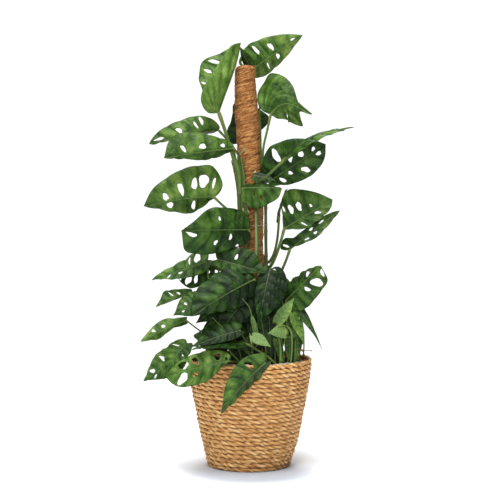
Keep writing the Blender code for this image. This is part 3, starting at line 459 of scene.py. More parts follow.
black_plastic, tree, shader = finish("black_plastic", 0.45, 0.4)
place = object_place(tree)
dust = noise(tree, place, 40.0, 4.0)
dusty = shade(tree, dust, (0.4, (0.012, 0.012, 0.012)), (0.75, (0.06, 0.05, 0.04)))
tree.links.new(span(tree, dust, 0.3, 0.7, 0.35, 0.65), shader.inputs["Roughness"])
paint(shader, dusty, noise(tree, place, 900.0), 0.0002, 0.4)
pot_side = np.concatenate([[POT_BOTTOM], np.linspace(14, 185, 12)])
pot_heights = np.concatenate([pot_side, POT_RIM])
pot_radii = bore_radius(pot_heights) - POT_INSET - np.concatenate([0 * pot_side, POT_ROLL])
pot_shape = vessel(pot_heights, pot_radii, POT_WALL, POT_STEPS)
put("nursery_pot", pot_shape, black_plastic, "black_plastic", "grow_pot")


# Soil
# Dark peat with bark chips on top. It fills the pot to a finger below its rim and sinks a little
# towards the pole.
SOIL_TOP = 190.0
SOIL_SIDE = (185.0, 157, 100, 40, 10.4)
SOIL_BOTTOM = 10.3
SOIL_INSET = 3.3
SOIL_STEPS = 140
SINK = 1.5
CHIPS = 420
# Least and most of a chip's length, and of its width and height as shares of the length.
CHIP_LENGTH = (1.2, 4.2)
CHIP_WIDTH, CHIP_HEIGHT = (0.5, 0.9), (0.25, 0.5)


def ripple(points, size, seed, waves=9):
    """Smooth noise of about -1 to 1: sine waves of about size in random directions, added up."""
    rng = np.random.default_rng(seed)
    ways = rng.normal(size=(waves, 3))
    ways *= 2 * np.pi / size * rng.uniform(0.5, 1.8, (waves, 1)) / np.linalg.norm(ways, axis=1, keepdims=True)
    return np.sin(points @ ways.T + rng.uniform(0, 6.3, waves)).sum(-1) / math.sqrt(waves)


def soil_body():
    """Closed body under a bumpy top: rings out from the centre, then down the pot's wall to its floor."""
    r_top = bore_radius(SOIL_TOP) - SOIL_INSET
    ring = np.concatenate([[0.02], np.linspace(3, r_top - 0.5, 44)])
    r = np.concatenate([ring, bore_radius(SOIL_SIDE) - SOIL_INSET, [0.02]])[:, None]
    z = np.concatenate([np.full(len(ring), SOIL_TOP - SINK), SOIL_SIDE, [SOIL_BOTTOM]])[:, None]
    points = turned(r, turn_of(SOIL_STEPS), z)
    flat = points * (1, 1, 0)
    lumps = 1.6 * ripple(flat, 34, 1) + 0.9 * np.abs(ripple(flat, 11, 2)) + 0.5 * ripple(flat, 5, 3)
    top = (np.arange(len(r)) < len(ring))[:, None]
    points[..., 2] += top * (lumps - SINK * np.exp(-(r / 45) ** 2))
    return sheet(points)


def copies(points, faces, **marks):
    """Shape of many equal small bodies: points (bodies, rows, columns, 3), and the faces of one body.

    A mark is one number for each body."""
    count, size = len(points), points[0].size // 3
    step = size * np.arange(count)[:, None, None]
    faces = [(part[None] + step).reshape(-1, part.shape[1]) for part in faces]
    uv = [np.zeros((*part.shape, 2)) for part in faces]
    made = {"points": points.reshape(-1, 3), "faces": faces, "uv": uv, "marks": {}}
    return marked(made, **{key: np.repeat(value, size) for key, value in marks.items()})


def pebbles(centres, sizes, seed):
    """Small closed lumps: balls of five by seven points with random bumps, stretched and turned at random."""
    rng = np.random.default_rng(seed)
    count = len(centres)
    lat = np.linspace(0, np.pi, 5)[:, None]
    ball = turned(np.sin(lat), turn_of(7), np.cos(lat))
    ball = ball[None] * (1 + rng.uniform(-0.25, 0.25, (count, 5, 7, 1)))
    ball[:, 0], ball[:, -1] = ball[:, 0].mean(1, keepdims=True), ball[:, -1].mean(1, keepdims=True)
    ball = ball * sizes[:, None, None]
    turn = np.linalg.qr(rng.normal(size=(count, 3, 3)))[0]
    turn *= np.sign(np.linalg.det(turn))[:, None, None]
    points = np.einsum("nij,nklj->nkli", turn, ball) + centres[:, None, None]
    return copies(points, [sheet(points[0])["faces"][0][:, ::-1]], tone=rng.random(count))


earth, tree, shader = finish("earth", 0.95, 0.15)
grain = noise(tree, object_place(tree), 260.0, 5.0)
peat = shade(tree, grain, (0.35, (0.006, 0.004, 0.003)), (0.55, (0.022, 0.013, 0.008)),
             (0.72, (0.06, 0.032, 0.018)))
tone = mark(tree, "tone")
bark = shade(tree, tone, (0.0, (0.012, 0.007, 0.004)), (0.5, (0.05, 0.022, 0.011)),
             (0.85, (0.14, 0.05, 0.022)), (1.0, (0.24, 0.14, 0.07)))
paint(shader, blend(tree, span(tree, tone, 0.0, 0.01), peat, bark), grain, 0.0015, 0.8)
rng = np.random.default_rng(5)
chip_r = (bore_radius(SOIL_TOP) - SOIL_INSET - 6) * np.sqrt(rng.uniform(0.05, 1, CHIPS))
chip_angle = rng.uniform(0, 2 * np.pi, CHIPS)
chip_at = turned(chip_r, chip_angle, SOIL_TOP + rng.uniform(-1, 1.5, CHIPS))
chip_length = rng.uniform(*CHIP_LENGTH, (CHIPS, 1))
chip_shares = np.stack([np.ones(CHIPS), rng.uniform(*CHIP_WIDTH, CHIPS),
                        rng.uniform(*CHIP_HEIGHT, CHIPS)], -1)
chips = pebbles(chip_at, chip_length * chip_shares, 6)
put("potting_soil", joined([soil_body(), chips]), earth, "earth", "soil")


# Coir pole
# A wooden core wrapped in a thick mat of coconut fibre. Two brown threads are wound round it by hand,
# so the mat bulges unevenly between the turns, and loose fibres lie and stand off all over it.
POLE = [(-9.8, 17.5, 785), (-9.8, 19.6, 780), (-9.8, 20, 751), (-6.9, 23, 693), (-3.3, 23.5, 657),
        (-1, 23.5, 597), (2, 23.5, 518), (2, 23.5, 430), (4, 23.5, 322), (4, 23.5, 205), (4, 23.5, 60)]
MAT_FOOT, MAT_LOW, MAT_SHOULDER, MAT_DOME = 60, 62, 769, 12.5
MAT_STEPS, SIDE_RINGS, CAP_RINGS = 110, 400, 12
CAP_FROM, CAP_DIP = 781, 0.8
# Rise per turn of each thread; size and length of its two slow waves, and where they start.
THREAD_TURNS = ((27.0, 0.32, 41.0, 0.15, 13.0, 0.0), (25.0, 0.36, 33.0, 0.16, 15.0, 1.9))
THREAD_RADIUS = 0.34
THREAD_SPAN, THREAD_STEP = (188, 779), 0.5
GROOVE_WIDTH = 1.7
BULGE = 0.7
FIBRES = 2600
FIBRE_SPAN = (192, 782)
FIBRE_LENGTH = (5, 19)
FIBRE_RADIUS = (0.12, 0.28)
FIBRE_SLOPE = (0.26, 0.24)


def pole_at(height):
    """Centre x and radius of the pole at a height: straight lines between the given sections."""
    x, r, z = np.array(POLE[::-1], float).T
    return np.interp(height, z, x), np.interp(height, z, r)


def thread_turns(height, number):
    """How often a thread has gone round at a height: even turns, with two slow waves added."""
    rise, wide, long, small, short, start = THREAD_TURNS[number]
    return height / rise + wide * np.sin(height / long + start) + small * np.sin(height / short + 2 * start)


def groove_at(height, angle):
    """1 under a thread, falling to 0 beside it as a bell curve GROOVE_WIDTH wide."""
    depth = 0
    for number, row in enumerate(THREAD_TURNS):
        away = (thread_turns(height, number) - angle / (2 * np.pi) + 0.5) % 1 - 0.5
        depth = np.maximum(depth, np.exp(-(away * row[0] / GROOVE_WIDTH) ** 2))
    return depth


def mat_radius(height, angle):
    """Radius of the mat: it dips under each thread and swells between, with small lumps."""
    around = turned(24, angle, height)
    lumps = 0.45 * ripple(around, 19, 11) + 0.30 * ripple(around, 6, 12)
    return pole_at(height)[1] + 0.2 - BULGE * groove_at(height, angle) + lumps


def sleeve():
    """Closed mat: rings up the side and over the rounded top, with the radius from mat_radius."""
    side = np.linspace(MAT_LOW, MAT_SHOULDER, SIDE_RINGS)
    cap = np.linspace(0, np.pi / 2, CAP_RINGS)[1:]
    angle = turn_of(MAT_STEPS)
    height = np.concatenate([[MAT_FOOT, MAT_FOOT], side, MAT_SHOULDER + MAT_DOME * np.sin(cap)])[:, None]
    dome = np.maximum(np.cos(cap), 0.001) ** 0.5
    share = np.concatenate([[0.001, 0.97], np.ones(len(side)), dome])[:, None]
    r = mat_radius(np.clip(height, MAT_LOW, MAT_SHOULDER), angle) * share
    points = turned(r, angle, height, pole_at(height)[0])
    dip = np.where(height > CAP_FROM, -CAP_DIP * ripple(points, 9, 14), 0)
    points[..., 2] += dip * (share > 0.05)
    return sheet(points[:, ::-1], (7.2, -1.5), groove=groove_at(height, angle)[:, ::-1])


def unit(vector):
    """The vector, or each vector of an array, divided by its length."""
    vector = np.asarray(vector, float)
    return vector / np.linalg.norm(vector, axis=-1, keepdims=True)


def circle_of(sides, first, second):
    """Points of a circle of radius 1, with its directions first and second given for each place."""
    turn = (2 * np.pi * np.arange(sides) / sides)[:, None]
    return np.cos(turn) * first[:, None] + np.sin(turn) * second[:, None]


def tube(path, radii, sides, axis=None, **marks):
    """Round bar along a path, closed to a point at both ends.

    Each section is a circle square to the path. Its first direction is square to axis, by default
    the direction in which the path turns least, so the bar never twists."""
    ways = unit(np.gradient(path, axis=0))
    if axis is None:
        axis = np.linalg.svd(ways)[2][-1]
    first = unit(np.cross(ways, axis))
    ring = circle_of(sides, first, np.cross(ways, first))
    radii = np.broadcast_to(radii, len(path))[:, None, None]
    points = path[:, None] + radii * ring
    points = np.concatenate([path[:1, None] + 0 * points[:1], points, path[-1:, None] + 0 * points[:1]])
    length = np.linalg.norm(np.diff(path, axis=0), axis=1).sum()
    return sheet(points[:, ::-1], (length / 100, 0.1), **marks)


def welded(shape):
    """The shape with points that coincide made one, and faces that collapse to a line dropped.

    A face that keeps three corners becomes a triangle."""
    keys = np.round(shape["points"] / 0.002).astype(np.int64)
    _, first, index = np.unique(keys, axis=0, return_index=True, return_inverse=True)
    index = index.reshape(-1)
    faces, uv = [], []
    for part, spots in zip(shape["faces"], shape["uv"]):
        part = index[part]
        repeat = part == np.roll(part, -1, axis=1)
        whole = ~repeat.any(1)
        faces.append(part[whole])
        uv.append(spots[whole])
        for corner in range(part.shape[1] if part.shape[1] == 4 else 0):
            keep = [k for k in range(4) if k != corner]
            found = repeat[:, corner] & (repeat.sum(1) == 1)
            faces.append(part[found][:, keep])
            uv.append(spots[found][:, keep])
    pairs = [(f, s) for f, s in zip(faces, uv) if len(f)]
    marks = {key: values[first] for key, values in shape["marks"].items()}
    return {"points": shape["points"][first], "faces": [f for f, _ in pairs], "uv": [s for _, s in pairs],
            "marks": marks}


def thread(number):
    """One wound thread: a spiral on the mat, sunk half into its groove."""
    height = np.arange(*THREAD_SPAN, THREAD_STEP)
    angle = 2 * np.pi * thread_turns(height, number)
    path = turned(mat_radius(height, angle) + 0.15, angle, height, pole_at(height)[0])
    return welded(tube(path, THREAD_RADIUS, 5, axis=(0, 0, 1), thread=1))


def fibres(count, seed):
    """Loose fibres: thin three-sided spikes that leave the mat along it and bend outwards."""
    rng = np.random.default_rng(seed)
    height = rng.uniform(*FIBRE_SPAN, count)
    angle = rng.uniform(0, 2 * np.pi, count)
    out = turned(1, angle, 0)
    round_way = np.cross((0, 0, 1), out)
    slope = rng.normal(*FIBRE_SLOPE, count)[:, None]
    way = unit(round_way * np.cos(slope) + np.array([0, 0, 1]) * np.sin(slope))
    way = way * rng.choice([-1, 1], (count, 1))
    r = mat_radius(height, angle) - 0.6
    root = turned(r, angle, height, pole_at(height)[0])
    length = rng.uniform(*FIBRE_LENGTH, count)[:, None, None]
    lift = rng.uniform(0.0, 0.5, count)[:, None, None] ** 1.5
    s = np.linspace(0, 1, 5)[None, :, None]
    inward = out[:, None] * (length * s * np.cos(slope[:, None])) ** 2 / (2 * r[:, None, None])
    path = root[:, None] + length * (way[:, None] * s + out[:, None] * (lift * s ** 2 + 0.07 * s)) - inward
    path += (length / 12 * rng.normal(0, 1.0, (count, 1, 3))) * s ** 2
    thick = rng.uniform(*FIBRE_RADIUS, count)[:, None, None, None] * (1 - 0.9 * s[..., None])
    points = path[:, :, None] + thick * circle_of(3, out, np.cross(way, out))[:, None]
    faces = [sheet(points[0])["faces"][0], np.array([[0, 1, 2], [12, 14, 13]])]
    return copies(points, faces, loose=rng.uniform(0.2, 1, count))


def combed(tree, turn, along, across):
    """Noise stretched to lines that rise by turn (radians) round the pole, from the UV map."""
    straight = add(tree, "UVMap").outputs[0]
    slanted = add(tree, "Mapping", {"Vector": straight, "Rotation": (0, 0, turn)}).outputs[0]
    return noise(tree, scaled(tree, slanted, (across, along, 1)), 1.0, 3.0)


def maths(tree, kind, first, second=0.0):
    """Sum, product or other operation of two shader values."""
    return add(tree, "Math", {0: first, 1: second}, operation=kind).outputs[0]


coir, tree, shader = finish("coir", 0.9, 0.15)
_, patch = streaks(tree, 22.0, 60.0, 5.0)
tangle = noise(tree, object_place(tree), 420.0, 4.0, 1.5)
lines = maths(tree, "ADD", combed(tree, 0.24, 3.5, 60.0), combed(tree, 0.55, 7.0, 38.0))
total = maths(tree, "ADD", lines, maths(tree, "MULTIPLY", tangle, 0.4))
mixed = maths(tree, "MULTIPLY", total, 1 / 2.4)
brown = shade(tree, mixed, (0.40, (0.16, 0.056, 0.015)), (0.49, (0.38, 0.165, 0.052)),
              (0.58, (0.60, 0.315, 0.12)))
worn = blend(tree, 0.7, brown, shade(tree, patch, (0.35, (0.68, 0.50, 0.40)), (0.62, (1, 1, 1))), "MULTIPLY")
# Painted shade: the mat darkens in the groove beside each thread.
sunk = blend(tree, span(tree, mark(tree, "groove"), 0.2, 1.0, 0, 0.5), worn, (0.15, 0.050, 0.018))
loose = shade(tree, mark(tree, "loose"), (0.2, (0.24, 0.095, 0.03)), (1.0, (0.72, 0.42, 0.18)))
with_fibres = blend(tree, span(tree, mark(tree, "loose"), 0, 0.02), sunk, loose)
paint(shader, blend(tree, mark(tree, "thread"), with_fibres, (0.20, 0.075, 0.03)), mixed, 0.0035)
threads = [thread(number) for number in range(len(THREAD_TURNS))]
put("coir_mat", joined([welded(sleeve()), *threads, fibres(FIBRES, 7)]), coir, "coir", "coir_sleeve")

core_wood, tree, shader = finish("core_wood", 0.7, 0.3)
long_grain = add(tree, "Mapping", {"Vector": object_place(tree), "Scale": (60, 60, 4)}).outputs[0]
year_rings = noise(tree, long_grain, 4.0, 3.0)
wood = shade(tree, year_rings, (0.35, (0.30, 0.18, 0.09)), (0.65, (0.52, 0.36, 0.20)))
paint(shader, wood, year_rings, 0.0008, 0.5)
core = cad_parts["pole_core"]
core.data.materials.clear()
core.data.materials.append(core_wood)


# Vines and shoots
# Four vines climb the pole and five young shoots grow beside it. Each is a green stem with a ring and a
# scar at every joint; brown roots leave the joints for the pole, dry sheaths stay on some, and younger
# side stems grow pressed against others. Each row has its points, and its radius at the foot and the top.
VINES = {
    "vine_left": ([(-6, -28.5, 165), (-5, -28.5, 330), (-6, -28.5, 430), (-6, -28.5, 489), (-9, -27.5, 520),
                   (-13, -26.5, 550), (-19, -23, 583), (-22, -23, 600), (-22, -26.5, 614)], 4.0, 3.0),
    "vine_front": ([(19, -25, 165), (18, -25, 330), (15, -26, 440), (14, -26.5, 520), (12, -27.5, 578)],
                   4.2, 3.2),
    "vine_right": ([(35, 2, 165), (33, 2, 330), (31, 2, 440), (30.5, 2, 520), (29, 0, 600)], 4.2, 3.2),
    "vine_back": ([(-10, 27, 165), (-12, 26, 330), (-13, 26, 440), (-13, 26.5, 560), (-15, 27, 640),
                   (-17, 26.5, 712)], 4.2, 3.2),
    "shoot_left": ([(-46, -26, 165), (-46, -26, 195), (-48, -27, 250), (-50, -30, 330)], 4.0, 3.0),
    "shoot_right": ([(103, -5, 165), (103, -5, 195), (105.5, -8, 240), (102, -12, 288)], 2.0, 1.7),
    "shoot_back": ([(-2, 62, 165), (-2, 62, 195), (0, 66, 250), (2, 66, 330)], 4.0, 3.0),
    "shoot_front": ([(4, -75, 165), (4, -75, 195), (5, -76, 252)], 3.6, 2.8),
    "shoot_middle": ([(57, -60, 165), (57, -60, 195), (56, -62, 262)], 3.6, 2.8),
}
# Side stems have two more values: how brown, and how young (usually 0.55; what is above 1 makes it dry).
SIDE_STEMS = {
    "vine_left": [([(-17, -24, 440), (-19, -21, 494), (-20.5, -21, 530), (-23, -21, 555), (-28, -21, 580),
                    (-34, -22, 606), (-40, -24, 630)], 3.4, 2.4, 0),
                  ([(-12, -30, 440), (-14, -30, 500), (-17, -29, 545), (-23, -27, 578), (-29, -26, 604),
                    (-35, -27, 626)], 3.0, 2.4, 0),
                  ([(-9, -34, 488), (-10, -33, 520), (-11, -32, 556), (-14, -31, 584), (-17, -30, 604)],
                   3.0, 2.2, 0),
                  ([(-21, -16, 430), (-23, -16, 500), (-25, -16, 540), (-30, -17, 572), (-36, -18, 598)],
                   1.5, 0.8, 1),
                  ([(-20, -29, 609), (-13, -31, 617), (-5, -31, 621)], 1.5, 1.1, 0.4, 1.2),
                  ([(-7, -34, 420), (-8, -35, 460), (-7, -35, 506)], 2.4, 2.0, 0)],
    "vine_right": [([(25, -12, 555), (22, -14, 590), (21, -15, 620), (20.5, -15, 655), (19, -14, 690),
                     (18, -12, 708)], 2.2, 1.2, 0, 0.1)],
    "vine_front": [([(11, -32, 396), (12, -32, 440), (11, -32, 500)], 2.7, 2.4, 0, 1.3)],
    "shoot_right": [([(77, -62, 237), (90, -63, 236.5), (104, -67, 235), (119, -71, 234)], 0.9, 0.6, 0.9)],
}
ROOT_HEIGHTS = {"vine_left": (505, 452, 398, 344, 290), "vine_front": (540, 486, 430, 372, 316, 262),
                "vine_right": (560, 508, 455, 402, 350, 296), "vine_back": (668, 610, 552, 494, 436, 378)}
SHEATHS = {"vine_left": [((-14, -34, 506), (-9, -38, 492), 2.4), ((-8, -33, 512), (-4, -38, 497), 2.2)],
           "vine_front": [((7, -36, 566), (9, -39, 579), 2.2)],
           "vine_right": [((30, -3, 590), (33, -9, 615), 2.6)],
           "shoot_front": [((4, -79, 246), (-2, -84, 268), 2.4)]}
JOINT_EVERY = 46.0
STEM_STEP = 2.2
SIDE_JOINT_EVERY = 31
SHEATH_WALL, SHEATH_OPEN, SHEATH_ROWS, SHEATH_COLUMNS = 0.3, 105, 12, 9
JOINT_SWELL = 0.55
STEM_SIDES = 12


def spline(a, b, c, d, f):
    """Catmull-Rom curve from b to c, at the share f of the way, with a before and d after them."""
    return b + 0.5 * f * (c - a + f * (2 * a - 5 * b + 4 * c - d + f * (3 * (b - c) + d - a)))


def through(points, steps):
    """Smooth path through points, with steps pieces to a span."""
    points = np.array(points, float)
    ends = np.vstack([2 * points[0] - points[1], points, 2 * points[-1] - points[-2]])
    near = (ends[k:len(points) - 1 + k, None] for k in range(4))
    found = spline(*near, (np.arange(steps) / steps)[None, :, None])
    return np.vstack([found.reshape(-1, 3), points[-1]])


def vine_at(name, height):
    """Axis point, radius and direction of a vine at a height, as the solids have it."""
    points, foot, top = VINES[name]
    path = through(points, 2)
    climb = path[:, 2]
    centre = np.array([np.interp(height, climb, path[:, axis]) for axis in range(3)])
    share = (height - climb[0]) / (climb[-1] - climb[0])
    piece = np.searchsorted(climb, height) - 1
    return centre, foot + (top - foot) * share, unit(path[piece + 1] - path[piece])


def run_of(path):
    """Length of the path up to each of its points."""
    return np.concatenate([[0], np.cumsum(np.linalg.norm(np.diff(path, axis=0), axis=1))])


def vine(name, seed):
    """Stem: a tube whose radius swells at each joint by a bell curve, with a fine ring on top of it."""
    points, foot, top = VINES[name]
    rng = np.random.default_rng(seed)
    path = through(points, 24)
    run = run_of(path)
    steps = np.arange(0, run[-1], STEM_STEP)
    path = np.stack([np.interp(steps, run, path[:, axis]) for axis in range(3)], -1)
    joint = np.abs((steps / JOINT_EVERY + rng.random() + 0.08 * np.sin(steps / 60)) % 1 - 0.5) * JOINT_EVERY
    radius = foot + (top - foot) * steps / run[-1] - 0.35
    radius = radius + JOINT_SWELL * np.exp(-(joint / 3.2) ** 2) + 0.18 * np.sin(steps / 9 + seed)
    tip = np.clip((run[-1] - steps) / 9, 0, 1) ** 0.5
    ring = np.concatenate([[0], np.exp(-(joint / 1.8) ** 2), [0]])
    young = np.concatenate([[0], steps / run[-1], [1]])
    return welded(tube(path, radius * np.maximum(tip, 0.05), STEM_SIDES,
                       joint=np.repeat(ring, STEM_SIDES), young=np.repeat(young, STEM_SIDES)))


def side_stem(points, foot, top, brown, young=0.55):
    """Bar through points that thins from foot to top and swells at each joint by a power of a cosine."""
    path = through(points, 12)
    swell = 0.35 * np.cos(2 * np.pi * run_of(path) / SIDE_JOINT_EVERY + foot) ** 8
    return welded(tube(path, np.linspace(foot, top, len(path)) + swell, 10,
                       root=brown, young=min(young, 1.0), dry=max(young - 1.0, 0.0)))


def spike(start, end, sag, radius, sides=5, tip=0.15, seed=0):
    """Bent spike from start to end: it sags by a parabola, wavers a little and thins towards its tip."""
    s = np.linspace(0, 1, 12)[:, None]
    path = start + (np.array(end) - start) * s + np.array(sag) * 4 * s * (1 - s)
    path = path + ripple(path, 14, seed)[:, None] * (0.5, 0.3, 0.4) * s
    return welded(tube(path, radius * (1 - (1 - tip) * s[:, 0] ** 1.4), sides, root=1))


def aerial_roots(name, heights, seed):
    """Roots that leave the vine on the side of the pole and run down along the mat."""
    rng = np.random.default_rng(seed)
    made = []
    for height in heights:
        centre = vine_at(name, height)[0]
        pole_x, pole_r = pole_at(height - 14)
        side = rng.choice([-1, 1])
        angle = math.atan2(centre[1], centre[0] - pole_x) + side * rng.uniform(0.25, 0.6)
        end = turned(pole_r + 1.6, angle, height - rng.uniform(10, 26), pole_x)
        made.append(spike(centre, end, (1.5 * side, 1.0, 4), 0.95, seed=seed + round(height)))
    return made


def sheath(foot, tip, width):
    """Dry pointed sheath: half a tube that narrows to its tip, with a thin wall between two faces."""
    foot, tip = np.array(foot, float), np.array(tip, float)
    side = unit(np.cross(unit(tip - foot), (0.3, 1, 0.1)))
    front = np.cross(side, unit(tip - foot))
    s = np.linspace(0, 1, SHEATH_ROWS)[:, None]
    a = np.radians(np.linspace(-SHEATH_OPEN, SHEATH_OPEN, SHEATH_COLUMNS))[None]
    r = width * (1 - s) ** 0.7 * (0.55 + 0.6 * s)
    shells = []
    for grow in (SHEATH_WALL / 2, -SHEATH_WALL / 2):
        across, depth = (r + grow) * np.sin(a), (r + grow) * np.cos(a)
        axis = foot + (tip - foot) * s[..., None]
        bend = front * (6 * s ** 2)[..., None]
        shells.append(axis + across[..., None] * side + depth[..., None] * front + bend)
    made = sheet(np.concatenate([shells[0], shells[1][:, ::-1]], axis=1), (0.3, 0.2), dry=1)
    count = 2 * SHEATH_COLUMNS
    end = np.array([[k, k + 1, count - 2 - k, count - 1 - k] for k in range(SHEATH_COLUMNS - 1)])
    made["faces"] += [end, end[:, ::-1] + count * (SHEATH_ROWS - 1)]
    made["uv"] += [np.zeros((len(end), 4, 2))] * 2
    return made


stem, tree, shader = finish("vine_stem", 0.5, 0.35)
place = object_place(tree)
lines = noise(tree, add(tree, "Mapping", {"Vector": place, "Scale": (700, 700, 60)}).outputs[0], 1.0)
spots = noise(tree, place, 60.0, 3.0)
green = blend(tree, mark(tree, "young"), (0.045, 0.085, 0.016), (0.10, 0.17, 0.035))
lined = blend(tree, 0.5, green, shade(tree, lines, (0.35, (0.55, 0.6, 0.5)), (0.65, (1, 1, 1))), "MULTIPLY")
aged = blend(tree, span(tree, spots, 0.52, 0.68, 0, 0.7), lined, (0.14, 0.085, 0.035))
ringed = blend(tree, span(tree, mark(tree, "joint"), 0.2, 1, 0, 0.8), aged, (0.21, 0.13, 0.06))
rooted = blend(tree, mark(tree, "root"), ringed, (0.16, 0.075, 0.03))
paint(shader, blend(tree, mark(tree, "dry"), rooted, (0.55, 0.56, 0.30)), lines, 0.0006, 0.5)

for number, name in enumerate(VINES):
    shapes = [vine(name, 30 + number)]
    shapes += [side_stem(*row) for row in SIDE_STEMS.get(name, ())]
    shapes += aerial_roots(name, ROOT_HEIGHTS.get(name, ()), 50 + number)
    shapes += [sheath(*row) for row in SHEATHS.get(name, ())]
    put(name + "_stem", joined(shapes), stem, "stem", name)


# Tie cord
# Pale twine tied once round the pole and the four vines, with a small knot at the front.
CORD_HEIGHT = 473.0
CORD_RADIUS = 0.5
POLE_REACH = 24.6
KNOT_ANGLE = -1.25
KNOT_ENDS = (((5, -1.5, -2), (1, -1, 1)), ((-2, -1.5, -5), (-1, -1, 1)))


def cord_path():
    """Tight loop: for each direction the furthest point of the pole and vines, taken to the cord's middle."""
    circles = [(pole_at(CORD_HEIGHT)[0], 0, POLE_REACH)]
    for name in ("vine_left", "vine_front", "vine_right", "vine_back"):
        centre, radius, _ = vine_at(name, CORD_HEIGHT)
        circles.append((*centre[:2], radius))
    circles = np.array(circles)
    way = np.linspace(0, 2 * np.pi, 241)[:-1]
    ways = np.stack([np.cos(way), np.sin(way)], -1)
    best = circles[(circles[:, :2] @ ways.T + circles[:, 2:3]).argmax(0)]
    flat = best[:, :2] + (best[:, 2:3] + CORD_RADIUS + 0.3) * ways
    path = np.column_stack([flat, CORD_HEIGHT + 0.8 * np.sin(way + 0.6)])
    return path[np.concatenate([[True], np.linalg.norm(np.diff(path, axis=0), axis=1) > 0.4])]


twine, tree, shader = finish("twine", 0.85, 0.2)
bands = {"Vector": add(tree, "UVMap").outputs[0], "Scale": 30.0, "Distortion": 0.4}
ply = add(tree, "TexWave", bands, bands_direction="DIAGONAL").outputs[1]
paint(shader, shade(tree, ply, (0.1, (0.24, 0.18, 0.12)), (0.8, (0.52, 0.45, 0.36))), ply, 0.0003, 0.6)
path = cord_path()
ahead = unit(np.roll(path, -1, axis=0) - np.roll(path, 1, axis=0))
out = unit(np.cross(ahead, (0, 0, 1)))
up = np.cross(out, ahead)
loop = sheet((path[:, None] + CORD_RADIUS * circle_of(8, out, up))[:, ::-1], (2.2, 0.05), loop=(True, True))
knot = path[np.abs(np.arctan2(path[:, 1], path[:, 0]) - KNOT_ANGLE).argmin()]
turn = np.linspace(0, 2 * np.pi, 33)
around = np.stack([1.3 * np.cos(turn), 0.8 * np.sin(2 * turn), 1.3 * np.sin(turn)], -1)
knot_shape = welded(tube(knot + around + (0, -0.6, 0), CORD_RADIUS, 6))
ends = [spike(knot, knot + np.array(way), sag, CORD_RADIUS, 6, tip=0.8, seed=90) for way, sag in KNOT_ENDS]
put("tie_cord_twine", joined([loop, knot_shape, *ends]), twine, "twine", "tie_cord")


# Leaves
# Thin leathery blades with holes between the side veins, each on a round stalk with a swollen joint
# under the blade. Old leaves are deep green and glossy, new ones lime green, small and still rolled.
# Where the side veins leave the midrib, from the base to the tip, and the grid of a cell between two.
RIB = (0.0, 0.09, 0.23, 0.38, 0.55, 0.74, 1.0)
CELLS = len(RIB) - 1
BLADE_STEPS = 14
VEIN_STEPS = np.array([0, .05, .16, .33, .5, .67, .84, .95, 1])
HOLE_RINGS = 5
# Thickness of a blade, how far it swells between two veins, and how deep the grooves on the veins are.
BLADE = 0.6
QUILT = 2.1
GROOVE = 0.25
STALK_FOOT = 3.1
STALK_TOP = 2.3
STALK_SIDES = 10
STALK_STEPS = 26
SWOLLEN_AT = 0.95
# Half widths of a blade from which it swells in full, and has a stalk of full size.
SWELL_WIDTH, STALK_WIDTH = 30, 45
RIDGE_END = 0.93
STEM_GAP = 0.35
SUNK_IN_SHOOT = -2.0
FAN_PERIOD = 0.20
# Holes between two side veins: centre and half length out from the midrib, half width and centre from
# one vein to the next. A leaf gives its holes as letters, from the base to the tip, or by cell.
HOLES = {"0": (.50, .36, .36, .5), "O": (.45, .27, .26, .5), "o": (.34, .15, .20, .5),
         "i": (.50, .28, .12, .5), "m": (.69, .19, .28, .5), "s": (.72, .20, .15, .5)}
PLAIN = [(-.10, .36), (.12, .93), (.32, 1.0), (.51, .86), (.69, .58), (.86, .22)]
# What a row doesn't give is as in USUAL. A pair is for the right and left half, seen with the tip ahead,
# or for the two handles of the midrib's curve. arch and bow: rise and sideways shift of the handles;
# fold and curl: degrees; edge: outlines as (along the midrib, out from it in half widths), which end at
# the tip; tone: green from 0 deep to 1 lime; spread: how much lighter the tip is than the base, which on
# some leaves paints the shade on their darker end; pucker: how far the blade swells between its veins;
# crease: heights of its wrinkles, lengthwise, along the side veins and like a fan; band: how
# strongly painted shade bands show between the veins and on the wrinkles; rib: how narrow the midrib's
# pale line is; stalk: how thick the stalk is; pale: how fresh a new leaf looks.
USUAL = {"arch": (.08, .06), "bow": 0, "fold": 0, "curl": 14, "holes": ("", ""), "edge": PLAIN,
         "tone": .28, "spread": .05, "pucker": 1, "crease": ((0, 0, 0), (0, 0, 0)), "band": 1, "rib": 1,
         "stalk": 1, "pale": 0}
PAIRED = ("width", "arch", "bow", "fold", "curl", "edge", "pucker")


def leaf(vine, height, way, base, tip, facing, width, **given):
    """A leaf: its vine, how high on it and the way out of it; base and tip of the midrib; what the upper
    side looks at; the half widths; a via path for its stalk, or none; and values by name.

    A value given once for a pair counts for both."""
    row = {**USUAL, **given, "stem": (vine, height, way), "base": base, "tip": tip, "facing": facing,
           "width": width}
    return {**row, **{key: row[key] if isinstance(row[key], tuple) else (row[key],) * 2 for key in PAIRED}}


